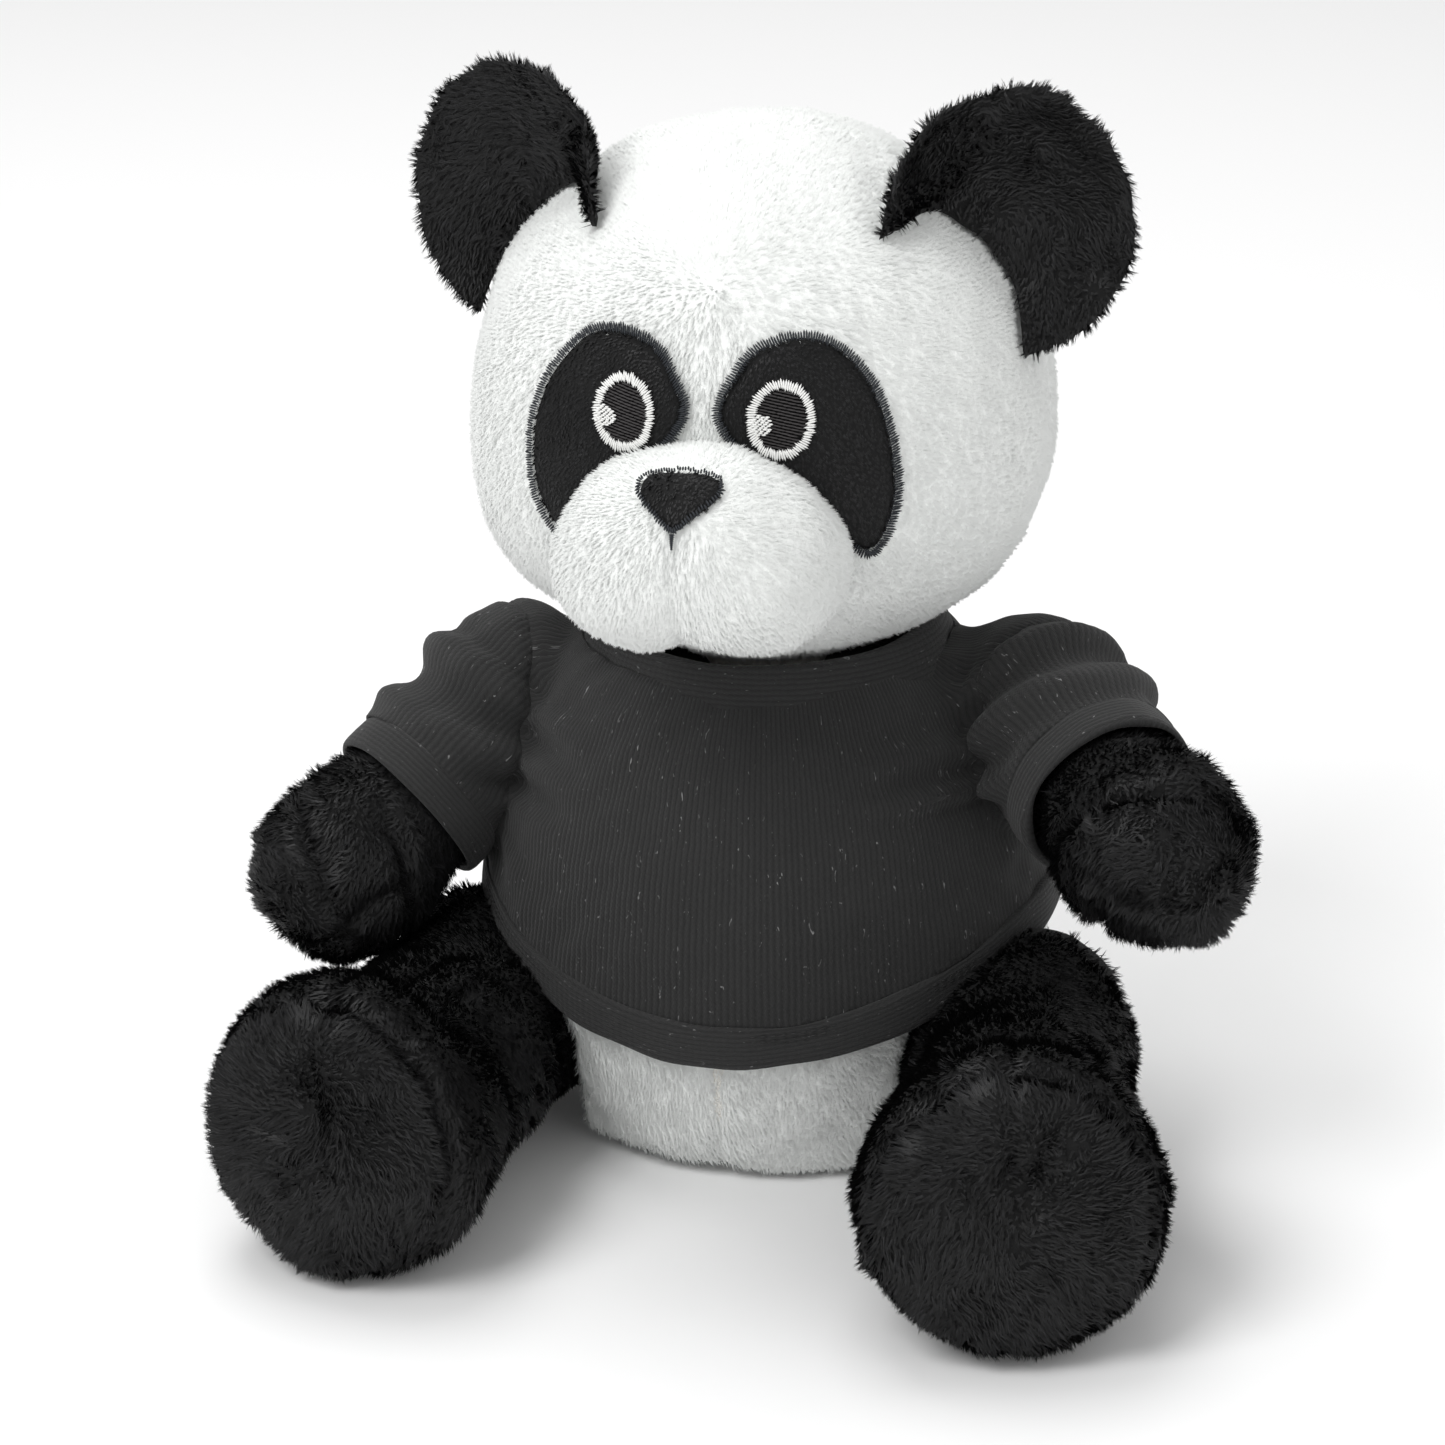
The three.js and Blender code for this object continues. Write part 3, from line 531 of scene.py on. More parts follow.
def knitted(name, colour, lint, wale, course, contrast):
    """Knit on a UV map in millimetres: columns a wale apart, rows a course apart, stray lint. The
    colour is painted darker in the grooves between loops, as painted shade, and lighter on the loop
    tops, as painted highlight.
    """
    tree, shader = new_material(name, colour, 0.92, Sheen_Weight=0.08, Sheen_Roughness=0.5)
    place = add(tree, "ShaderNodeUVMap", uv_map="knit")
    split = add(tree, "ShaderNodeSeparateXYZ", {0: place.outputs[0]})
    wobble = add(tree, "ShaderNodeTexNoise", {
        "Vector": place.outputs[0], "Scale": 0.35, "Detail": 2.0,
    })
    shift = add(tree, "ShaderNodeMath", {0: wobble.outputs["Fac"], 1: 0.5, 2: split.outputs[0]},
                operation="MULTIPLY_ADD")
    columns = add(tree, "ShaderNodeMath", {0: shift.outputs[0], 1: 2 * math.pi / wale},
                  operation="MULTIPLY")
    wave = add(tree, "ShaderNodeMath", {0: columns.outputs[0]}, operation="COSINE")
    slant = add(tree, "ShaderNodeMath", {
        0: wave.outputs[0], 1: 0.9, 2: split.outputs[1],
    }, operation="MULTIPLY_ADD")
    slanted = add(tree, "ShaderNodeMath", {0: slant.outputs[0], 1: 2 * math.pi / course},
                  operation="MULTIPLY")
    rows = add(tree, "ShaderNodeMath", {0: slanted.outputs[0]}, operation="SINE")
    loops = add(tree, "ShaderNodeMath", {0: rows.outputs[0], 1: 0.45, 2: wave.outputs[0]},
                operation="MULTIPLY_ADD")
    level = add(tree, "ShaderNodeMapRange", {0: loops.outputs[0], 1: -1.3, 2: 1.3})
    fuzz = add(tree, "ShaderNodeTexNoise", {
        "Vector": place.outputs[0], "Scale": 1.1, "Detail": 5.0, "Roughness": 0.7,
    })
    cloud = add(tree, "ShaderNodeTexNoise", {"Vector": place.outputs[0], "Scale": 0.05})
    tone = add(tree, "ShaderNodeMath", {0: fuzz.outputs["Fac"], 1: 0.9, 2: level.outputs[0]},
               operation="MULTIPLY_ADD")
    tone = add(tree, "ShaderNodeMath", {0: cloud.outputs["Fac"], 1: 0.5, 2: tone.outputs[0]},
               operation="MULTIPLY_ADD")
    spread = add(tree, "ShaderNodeMapRange", {0: tone.outputs[0], 1: 0.35, 2: 1.9})
    # Painted shade in the knit's grooves and painted highlight on its loop tops, mixed with random
    # fuzz and cloud.
    yarn_and_groove_shade = add(tree, "ShaderNodeMix", {
        "Factor": spread.outputs[0], 6: (*shade(colour, 1 - contrast), 1),
        7: (*shade(colour, 1 + contrast), 1),
    }, data_type="RGBA")
    stretched = add(tree, "ShaderNodeMapping", {
        "Vector": place.outputs[0], "Scale": (0.9, 0.32, 1.0), "Rotation": (0, 0, 0.5),
    })
    specks = add(tree, "ShaderNodeTexNoise", {
        "Vector": stretched.outputs[0], "Scale": 1.3, "Detail": 1.0, "Distortion": 1.5,
    })
    caught = add(tree, "ShaderNodeMapRange", {0: specks.outputs["Fac"], 1: 0.72, 2: 0.8})
    linted = add(tree, "ShaderNodeMix", {
        "Factor": caught.outputs[0], 6: yarn_and_groove_shade.outputs[2], 7: (*lint, 1),
    }, data_type="RGBA")
    relief = add(tree, "ShaderNodeBump", {
        "Height": tone.outputs[0], "Distance": 0.28 * MM, "Strength": 0.8,
    })
    tree.links.new(linted.outputs[2], shader.inputs["Base Color"])
    tree.links.new(relief.outputs[0], shader.inputs["Normal"])


def make_materials():
    pile = bpy.context.scene.panda_pile
    shirt = bpy.context.scene.panda_shirt
    face = bpy.context.scene.panda_face
    # Polyester minky: matt fibres with a soft sheen. The ground cloth shows between tufts; the
    # black ground is painted at 0.55 of its pile's colour, as painted shade under the tufts.
    mottled("white_plush_ground", pile.white, 0.95, 0.9, 22, 0.35, 0.06, Sheen_Weight=0.2)
    mottled("black_plush_ground", shade(pile.black, 0.55), 0.95, 0.9, 9, 0.4, 0.5)
    # Each pile gets a lighter copy, painted sheen, and a darker copy, painted shade, laid on random
    # tufts.
    for tone, factor in (("main", 1), ("light", 1.02), ("dark", 0.97)):
        new_material(f"white_pile_{tone}", shade(pile.white, factor), 0.85, Sheen_Weight=0.25)
    for tone, factor in (("main", 1), ("light", 3.4), ("dark", 0.5)):
        new_material(f"black_pile_{tone}", shade(pile.black, factor), 0.5,
                     Specular_IOR_Level=0.35)
    # Single jersey and its rib: cotton loops, dull, with fuzz and lint lying on them, and painted
    # shade in the grooves between the loops.
    knitted("shirt_jersey_knit", shirt.jersey, shirt.lint, shirt.wale / MM, 1.0, 0.6)
    knitted("shirt_rib_knit", shade(shirt.jersey, 1.12), shirt.lint, 0.95, 1.4, 0.5)
    # Rayon embroidery thread: bright along its length, in tight satin stitches.
    for name, colour in (("black_satin_thread", face.black_thread),
                         ("iris_satin_thread", face.iris_thread),
                         ("white_satin_thread", face.white_thread)):
        new_material(name, colour, 0.58)
    new_material("shirt_sewing_thread", shade(shirt.jersey, 0.75), 0.6)
    # Inner parts: loose white fibre, unbleached cotton, moulded pellets, woven nylon, ribbon.
    mottled("polyester_fibre", linear("#f4f2ec"), 1.0, 0.8, 12, 1.2, 0.15)
    mottled("unbleached_cotton", linear("#d9d4c8"), 0.9, 0.5, 15, 0.2, 0.15)
    mottled("polyethylene_pellets", linear("#cfd3d6"), 0.45, 3.0, 9, 1.5, 0.3)
    mottled("woven_nylon_hooks", linear("#222222"), 0.7, 0.5, 8, 0.3, 0.4)
    mottled("satin_ribbon_weave", linear("#f4f4f2"), 0.35, 0.3, 9, 0.05, 0.06)
    TREES["pile"], TREES["stitch"] = pile_tree(), stitch_tree()
    TREES["tuft"] = tuft_mesh()


def tuft_mesh():
    """Three flat blades of pile, one metre tall before they are scaled, kept out of the scene."""
    draw = np.random.default_rng(4)
    points, faces = [], []
    for i in range(3):
        turn = draw.uniform(-0.7, 0.7)
        foot = draw.uniform(-0.22, 0.22, 2)
        tip = foot + draw.uniform(-0.32, 0.32, 2)
        side = np.array([math.cos(turn), math.sin(turn)]) * 0.17
        tall = draw.uniform(0.8, 1.0)
        points += [(*(foot - side), -0.08 / MM), (*(foot + side), -0.08 / MM), (*tip, tall / MM)]
        faces.append((3 * i, 3 * i + 1, 3 * i + 2))
    mesh = bpy.data.meshes.new("pile_tuft")
    mesh.from_pydata([tuple(v * MM for v in point) for point in points], [], faces)
    return bpy.data.objects.new("pile_tuft", mesh)


def paint(made, name):
    made.data.materials.clear()
    made.data.materials.append(MATERIALS[name])


def finish_piece(made, finish, body, slot, *nodes):
    """A piece's material, body and the CAD nodes it stands for; the slot is not used."""
    if finish:
        paint(made, finish)
    if body:
        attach(made, body)
    if nodes:
        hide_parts(*nodes)


# ---------------------------------------------------------------- skins and pile

def combed(made, way, seed, tilt=1.1, clump=9.0, swirl=0.8, tufted=0.28):
    """Store how the pile leans on a skin: a general way, bent by seeded drifts."""
    points, normals = points_of(made), normals_of(made)
    drift = np.stack([ripple(points, clump * 2.2, seed + k) for k in range(3)], 1)
    locks = np.stack([ripple(points, clump * 0.45, seed + 9 + k) for k in range(3)], 1)
    lean = unit(way) + drift * swirl * 0.5 + locks * swirl * tufted
    lean -= normals * np.sum(lean * normals, axis=1, keepdims=True)
    size = np.linalg.norm(lean, axis=1, keepdims=True)
    store(made, "comb", lean / np.maximum(size, 0.4) * tilt, "FLOAT_VECTOR")


def grow_pile(skin, name, body, tone, amount, seed_shift=0, share=1.0, cut=None):
    """Grow pile on a combed skin as a piece of its own, as long as its tone's or its cut's."""
    pile = bpy.context.scene.panda_pile
    if "pile" not in skin.data.attributes:
        store(skin, "pile", np.ones(len(skin.data.vertices)))
    grown = run_tree(name, skin, TREES["pile"], {
        "Tuft": TREES["tuft"], "Density": pile.density * amount / MM ** 2,
        "Length": getattr(pile, f"{cut or tone}_length") * share,
        "Seed": pile.seed + seed_shift,
        "Main": MATERIALS[f"{tone}_pile_main"], "Light": MATERIALS[f"{tone}_pile_light"],
        "Dark": MATERIALS[f"{tone}_pile_dark"],
    })
    finish_piece(grown, None, body, f"{tone}_plush")
    return grown


def stuff(skin, body, node, gap=2.4):
    """A lump of fibre that fills a closed skin without showing through it."""
    lump = twin(skin, f"{node}_fibre")
    for layer in ("comb", "pile"):
        if layer in lump.data.attributes:
            lump.data.attributes.remove(lump.data.attributes[layer])
    push(lump, -gap - 0.5 * (1 + ripple(points_of(lump), 7, 17)))
    finish_piece(lump, "polyester_fibre", body, "fibre_filling", node)


def finish_skin(skin, body, tone, fill, *nodes):
    """A skin: its ground cloth, body, and the CAD nodes it stands for."""
    finish_piece(skin, f"{tone}_plush_ground", body, f"{tone}_plush", *nodes)


# ---------------------------------------------------------------- the toy's forms

def span(nodes):
    """Lowest and highest corner of some CAD nodes together, in millimetres."""
    boxes = [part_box(node) for node in nodes]
    low = np.min([np.array(low) for low, _ in boxes], 0) / MM
    high = np.max([np.array(high) for _, high in boxes], 0) / MM
    return low, high


TORSO_NODES = ("torso_base", "belly_left", "belly_right", "torso_back_left",
               "torso_back_right", "chest_yoke")
TORSO_LOW, TORSO_HIGH = span(TORSO_NODES)
TORSO_HEIGHT = TORSO_HIGH[2]
TORSO_HALF = (TORSO_HIGH[0] - TORSO_LOW[0]) / 2
TORSO_FLATNESS = (TORSO_HIGH[1] - TORSO_LOW[1]) / (TORSO_HIGH[0] - TORSO_LOW[0])
# Radius as a share of the half width, height as a share of the height.
TORSO_PROFILE = [(0, 0), (0.41, 0), (0.82, 0.004), (0.95, 0.12), (1, 0.36), (0.95, 0.6),
                 (0.84, 0.82), (0.67, 0.96), (0.567, 1), (0.425, 0.965), (0.19, 0.93), (0, 0.93)]
HEAD_LOW, HEAD_HIGH = span(("head_front", "head_back_left", "head_back_right"))
HEAD_RADII = np.array([HEAD_HIGH[0] - HEAD_LOW[0], HEAD_HIGH[1] - HEAD_LOW[1],
                       HEAD_HIGH[0] - HEAD_LOW[0]]) / 2 * (1, 1, 54 / 57)
HEAD_CENTRE = np.array([(HEAD_LOW[0] + HEAD_HIGH[0]) / 2, (HEAD_LOW[1] + HEAD_HIGH[1]) / 2,
                        HEAD_HIGH[2] - HEAD_RADII[2]])
MUZZLE_LOW, MUZZLE_HIGH = span(("muzzle_left", "muzzle_right"))
MUZZLE_RADII = np.array([27.0, 23.0, 20.0])
MUZZLE_CENTRE = np.array([0, MUZZLE_LOW[1] + MUZZLE_RADII[1],
                          (MUZZLE_LOW[2] + MUZZLE_HIGH[2]) / 2])
HEAD_INSET, MUZZLE_INSET = 1.5, 1.4   # room left for the pile

ARM_PROFILE = [(0, -10), (8, -7), (10.5, 0), (11.5, 12), (12.5, 24), (15.5, 33), (18.4, 44),
               (19.2, 52), (17, 60), (10.5, 67), (0, 69)]
LEG_PROFILE = [(0, -18), (12.5, -13), (18.2, 0), (19.5, 24), (22.8, 44), (27.2, 64), (29, 76),
               (25.2, 87), (13, 92), (0, 92.6)]


def torso_line(inset, count):
    line = spline(np.array(TORSO_PROFILE) * (TORSO_HALF, TORSO_HEIGHT), count)
    return set_in(line, inset)


def lathe(line, sides, flatness=1.0):
    """Rings about Z from a profile of radius and height."""
    angles = around(sides)
    ring = np.stack([np.cos(angles), np.sin(angles) * flatness], 1)
    rings = np.zeros((len(line), sides, 3))
    rings[:, :, :2] = line[:, None, :1] * ring
    rings[:, :, 2] = line[:, 1:]
    return rings


def orb(centre, radii, count=64, sides=96):
    angles = np.linspace(0, math.pi, count)
    line = np.stack([np.sin(angles), -np.cos(angles)], 1)
    line[[0, -1], 0] = 0
    return lathe(line, sides) * radii + centre


def limb_frame(joint, nodes):
    """A limb's pivot, its own way along, up and aside, and its length, from its CAD nodes."""
    pivot = np.array(JOINTS[joint]["pos_m"]) / MM
    points = np.vstack([points_of(frame["nodes"][node]) for node in nodes]) - pivot
    far = np.linalg.norm(points, axis=1)
    along = unit(points[far > far.max() - 0.5].mean(0))
    up = unit(np.array([0, 0, 1.0]) - along * along[2])
    aside = np.cross(up, along)
    return {"pivot": pivot, "along": along, "up": up, "axes": np.stack([aside, up, along]),
            "length": far.max()}


ARM = {name: limb_frame(f"arm_{name}_raise", (f"arm_{name}_upper", f"arm_{name}_under"))
       for name in SIDES}
LEG = {name: limb_frame(f"leg_{name}_swing", (f"foot_{name}_sole",)) for name in SIDES}


def stood(rings, limb):
    """Rings in a limb's own frame, stood in the toy's."""
    return rings @ limb["axes"] + limb["pivot"]


def own(points, limb):
    """Points in a limb's own frame: aside, up, along."""
    return (points - limb["pivot"]) @ limb["axes"].T


def whorl(aside, up, turn, limb):
    """Ways that swirl out from a point on the end of a limb."""
    level = np.zeros_like(up)
    spokes, turned = np.stack([aside, up, level], 1), np.stack([-up, aside, level], 1)
    return (unit(spokes) + turn * unit(turned)) @ limb["axes"]


def fitted(profile, length):
    """A limb's profile, stretched beyond its joint to a length."""
    line = np.array(profile, float)
    line[:, 1] = np.where(line[:, 1] > 0, line[:, 1] * length / line[-1, 1], line[:, 1])
    return line


def leg_rings(name, inset, sides=64, count=72):
    limb = LEG[name]
    line = set_in(spline(fitted(LEG_PROFILE, limb["length"]), count), inset)
    return stood(lathe(line, sides), limb)


def in_head(points, grow):
    """Below 1 inside the head grown by a distance."""
    return np.linalg.norm((points - HEAD_CENTRE) / (HEAD_RADII + grow), axis=-1)


# ---------------------------------------------------------------- torso

def leg_space(name):
    """The room a leg needs in the torso over its swing, as closed forms."""
    limb = LEG[name]
    joint = JOINTS[f"leg_{name}_swing"]
    spaces = []
    for share in (0.0, 0.5, 1.0):
        low, high = joint["range_deg"]
        turn = Quaternion(Vector(joint["axis"]), math.radians(low + (high - low) * share))
        rings = leg_rings(name, -0.6, 32, 24) - limb["pivot"]
        turned = rings @ np.array(turn.to_matrix()).T + limb["pivot"]
        spaces.append(capped(f"space_{name}", turned))
    return spaces


def build_torso():
    whole = capped("torso_form", lathe(torso_line(1.3, 60), 110, TORSO_FLATNESS))
    carve(whole, leg_space("left") + leg_space("right"))
    remesh(whole, 1.6, 4)
    points = points_of(whole)
    seams = 0.9 * bump(points[:, 0] + 1.5 * ease(points[:, 2], 40, 5), 1.1)
    sag = 0.5 * ripple(points, 30, 21) + 0.25 * ripple(points, 9, 22)
    push(whole, sag - seams)
    flatten(whole, 0.3)
    yoke_low = span(("chest_yoke",))[0][2]
    belly, yoke = twin(whole, "belly_skin"), twin(whole, "chest_skin")
    bpy.data.objects.remove(whole)
    slice_off(belly, (0, 0, yoke_low), (0, 0, 1))
    slice_off(yoke, (0, 0, yoke_low), (0, 0, -1))
    for skin in (belly, yoke):
        thicken(skin, 0.9 * MM)
    points = points_of(belly)
    shown = ease(points[:, 2], 0.6, 2.5) * (1 - ease(points[:, 2], 50, 53))
    inner = np.sum(normals_of(belly) * (points - (0, 0, 40)), axis=1) < 0
    store(belly, "pile", np.where(inner, 0, shown))
    combed(belly, (0.15, 0, -1.0), 31, swirl=0.5)
    finish_skin(belly, "torso", "white", 0.8, "torso_base", "belly_left", "belly_right",
                "torso_back_left", "torso_back_right")
    grow_pile(belly, "belly_pile", "torso", "white", 1.1)
    top = ease(points_of(yoke)[:, 2], 93, 96)
    store(yoke, "pile", top * (normals_of(yoke)[:, 2] > -0.1))
    combed(yoke, DOWN, 33)
    finish_skin(yoke, "torso", "black", 0.8, "chest_yoke")
    grow_pile(yoke, "chest_pile", "torso", "black", 0.8, share=0.7)


def build_tail():
    low, high = span(("tail",))
    radius = (high[0] - low[0]) / 2 - 1
    centre = np.array([0, high[1] - radius - 1, (low[2] + high[2]) / 2])
    skin = capped("tail_skin", orb(centre, np.full(3, radius), 32, 40))
    push(skin, 0.5 * ripple(points_of(skin), 12, 41))
    carve(skin, [capped("torso_tool", lathe(torso_line(0.8, 48), 80, TORSO_FLATNESS))])
    combed(skin, (0.0, 0.4, -1.0), 43, clump=6)
    finish_skin(skin, "torso", "white", 0.7, "tail")
    grow_pile(skin, "tail_pile", "torso", "white", 1.1)


def build_label():
    """A ribbon label folded double and sewn into the seam beside the tail."""
    points = points_of(frame["nodes"]["care_label"])
    way = unit(points.mean(0) * (1, 1, 0))
    side = np.array([-way[1], way[0], 0])
    low, high = points[:, 2].min(), points[:, 2].max()
    root = points.mean(0) * (1, 1, 0)
    start, reach = -3.0, (points @ way).max() - root @ way
    columns, rows = 14, 9
    grid = []
    for share in np.linspace(0, 1, columns):
        out = start + (reach - start) * share
        curl = 1.6 * share ** 2 + 0.35 * math.sin(share * 7)
        grid += [root + way * out + side * curl + (0, 0, height)
                 for height in np.linspace(low + 0.3, high, rows)]
    faces = [(rows * i + j, rows * i + j + 1, rows * (i + 1) + j + 1, rows * (i + 1) + j)
             for i in range(columns - 1) for j in range(rows - 1)]
    label = make_mesh("care_label_ribbon", grid, faces)
    thicken(label, 0.5 * MM)
    finish_piece(label, "satin_ribbon_weave", "torso", "satin_ribbon", "care_label")


# ---------------------------------------------------------------- legs

def build_leg(name):
    limb, side = LEG[name], SIDES[name]
    skin = capped(f"leg_{name}_skin", leg_rings(name, 1.2, 96, 110))
    points = own(points_of(skin), limb)
    aside, up, along = points.T
    length = limb["length"]
    around_axis = np.arctan2(up, aside)
    radius = np.hypot(aside, up)
    sole = ease(along, length - 14, length - 6)
    toe_seam = 1.4 * bump(aside, 1.3) * ease(up, 4, 14) * ease(along, 20, 60)
    sole_seam = 2.6 * bump(along - (length - 9.5), 1.7) * (1 - 0.5 * ease(-up, 5, 20))
    dimple = 4.2 * bump(np.hypot(aside - side * 1.5, up - 7), 8) * sole
    crease = 0.9 * bump(np.sin(around_axis * 3 + along * 0.09 + side), 0.35) * sole
    crease *= ease(radius, 5, 10) * (1 - ease(radius, 17, 23))
    toe = 3.2 * bump(np.hypot(aside * 0.6, up - 24), 9) * ease(along, length - 34, length - 12)
    ankle = 1.3 * bump(along - 46 - 5 * np.sin(around_axis + 1), 5) * ease(np.abs(aside), 6, 18)
    soft = 0.7 * ripple(points, 26, 51 + side) + 0.35 * ripple(points, 9, 53 + side)
    thigh = 7.0 * ease(side * aside + 0.3 * up, -3, 18) * bump(along - 10, 26)
    thigh += (2.7 + 0.8 * side) * ease(up, 2, 16) * bump(along - 2, 20)
    thigh -= 3.2 * bump(along - 60, 10) * ease(up, -4, 18)
    push(skin, thigh + toe - toe_seam - sole_seam - dimple - crease - ankle + soft)
    world = flatten(skin, 0.4 + 0.02 * radius)
    swirl = whorl(aside - side * 1.5, up - 7, 0.5 * side, limb)
    way = swirl * sole[:, None] + (limb["along"] - 0.3 * limb["up"]) * (1 - sole)[:, None]
    combed(skin, way, 60 + side, clump=8, swirl=0.9, tufted=0.6)
    store(skin, "pile", ease(along, 2, 8) * ease(world[:, 2], 0.5, 2.2))
    finish_skin(skin, f"leg_{name}", "black", 0.7, f"leg_{name}_inner", f"leg_{name}_outer",
                f"foot_{name}_sole")
    stuff(skin, f"leg_{name}", f"leg_{name}_stuffing", 3.2)
    grow_pile(skin, f"leg_{name}_pile", f"leg_{name}", "black", 1.0, side)


# ---------------------------------------------------------------- arms

def build_arm(name):
    limb, side = ARM[name], SIDES[name]
    line = set_in(spline(fitted(ARM_PROFILE, limb["length"]), 90), 1.0)
    skin = capped(f"arm_{name}_skin", stood(lathe(line, 80), limb))
    points = own(points_of(skin), limb)
    aside, up, along = points.T
    angle = np.arctan2(up, aside)
    paw = ease(along, 34, 48)
    seam = 1.1 * bump(up + 2 * np.sin(along * 0.2), 1.2) * ease(along, 40, 52)
    folds = 2.8 * bump(np.sin(angle * 1.5 + along * 0.16 + side), 0.24) * paw
    folds *= 1 - ease(along, 56, 64)
    palm = 3.2 * bump(np.hypot((along - 52) * 0.8, (angle + 1.9) * 13), 9)
    tip = 1.0 * bump(np.hypot(aside * 0.8, up + 3), 9) * ease(along, 56, 66)
    soft = 0.8 * ripple(points, 24, 71 + side) + 0.4 * ripple(points, 8, 73 + side)
    push(skin, tip - seam - folds - palm + soft * paw)
    end = ease(along, 52, 64)[:, None]
    way = (limb["along"] - limb["up"] * 0.35) * (1 - end)
    way += whorl(aside - 3 * side, up + 2, 0.7, limb) * end
    combed(skin, way, 80 + side, clump=7, swirl=1.0, tufted=0.6)
    store(skin, "pile", ease(along, 29, 31))
    finish_skin(skin, f"arm_{name}", "black", 0.7, f"arm_{name}_upper", f"arm_{name}_under")
    stuff(skin, f"arm_{name}", f"arm_{name}_stuffing")
    grow_pile(skin, f"arm_{name}_pile", f"arm_{name}", "black", 1.0, 10 + side)


# ---------------------------------------------------------------- head

def head_relief(points):
    """How far the head's skin stands off its plain form."""
    way = (points - HEAD_CENTRE) / HEAD_RADII
    x, y, z = unit(way).T
    cheeks = 4.2 * bump(np.hypot(x + 0.78, z + 0.52), 0.42)
    cheeks += 3.0 * bump(np.hypot(x - 0.8, z + 0.48), 0.42)
    crown = 0.7 * bump(np.abs(points[:, 1] - HEAD_CENTRE[1]), 1.2) * ease(z, -0.6, 0.4)
    spine = 0.8 * bump(points[:, 0], 1.2) * ease(y, 0.1, 0.3)
    soft = 0.5 * ripple(points, 40, 91) + 0.2 * ripple(points, 11, 92)
    flat = 0.8 * bump(np.hypot(x, z - 0.35), 0.4) * ease(-y, 0.3, 0.8)
    return cheeks - crown - spine + soft - flat


def build_head():
    skin = capped("head_skin", orb(HEAD_CENTRE, HEAD_RADII - HEAD_INSET, 110, 150))
    push(skin, head_relief(points_of(skin)))
    points = points_of(skin)
    way = unit(points - HEAD_CENTRE)
    stream = way - (0, -0.9, 0.1)
    stream[:, 2] -= 0.6 * ease(-way[:, 1], 0, 0.8) + 2.4 * ease(way[:, 1], -0.3, 0.5)
    combed(skin, stream, 101, tilt=1.5, clump=14, swirl=0.35)
    under_muzzle = np.linalg.norm((points - MUZZLE_CENTRE) / (MUZZLE_RADII - 1), axis=1)
    hidden = in_patch(points) * ease(-way[:, 1], 0.2, 0.4)
    neck = ease(np.hypot(points[:, 0], points[:, 1]) + (points[:, 2] - HEAD_LOW[2]), 14, 18)
    store(skin, "pile", ease(under_muzzle, 0.96, 1.0) * (1 - hidden) * neck)
    finish_skin(skin, "head", "white", 0.9, "head_front", "head_back_left", "head_back_right")
    stuff(skin, "head", "head_stuffing")
    for half, sign in (("front", 1), ("back", -1)):
        part = twin(skin, f"head_{half}_ground")
        slice_off(part, (0, HEAD_CENTRE[1], 0), (0, sign, 0))
        grow_pile(part, f"head_{half}_pile", "head", "white", 1.05, sign)
        bpy.data.objects.remove(part)


def muzzle_relief(points):
    x = points[:, 0] - MUZZLE_CENTRE[0]
    z = points[:, 2] - MUZZLE_CENTRE[2]
    jowls = 2.6 * bump(np.hypot((np.abs(x) - 17) / 12, (z + 9) / 9), 1)
    jowls += 1.2 * bump(np.hypot((x - 19) / 10, (z + 6) / 9), 1)
    seam = 1.2 * bump(x, 1.0) * (1 - ease(z, 4, 9))
    chin = 2.6 * bump(np.hypot(x, z + 17), 4.5)
    soft = 0.35 * ripple(points, 16, 111)
    return jowls - seam - chin + soft


def build_muzzle():
    skin = capped("muzzle_skin", orb(MUZZLE_CENTRE, MUZZLE_RADII - MUZZLE_INSET, 80, 110))
    push(skin, muzzle_relief(points_of(skin)))
    carve(skin, [capped("head_tool", orb(HEAD_CENTRE, HEAD_RADII - 1.9, 64, 96))])
    points = points_of(skin)
    way = points - (MUZZLE_CENTRE + (0, -24, 13))
    combed(skin, way * (1, 0.6, 1) + (0, 0, -6), 121, tilt=1.5, clump=10, swirl=0.3)
    nose = in_outline(points, lifted(NOSE_OUTLINE, MUZZLE_CENTRE[2]), 0.6)
    store(skin, "pile", ease(in_head(points, 0), 0.985, 1.0) * (1 - nose))
    finish_skin(skin, "head", "white", 0.85, "muzzle_left", "muzzle_right")
    stuff(skin, "head", "muzzle_stuffing")
    grow_pile(skin, "muzzle_pile", "head", "white", 1.25, 30)


# ---------------------------------------------------------------- ears

def ear_frame(name):
    """An ear's hinge, its way across, outward and back, from its joint."""
    joint = JOINTS[f"ear_{name}_fold"]
    hinge, across = np.array(joint["pos_m"]) / MM, unit(np.array(joint["axis"]))
    back = unit(np.array([-across[1], across[0], 0]))
    back *= np.sign(back[1])
    return hinge, across, np.cross(across, back), back


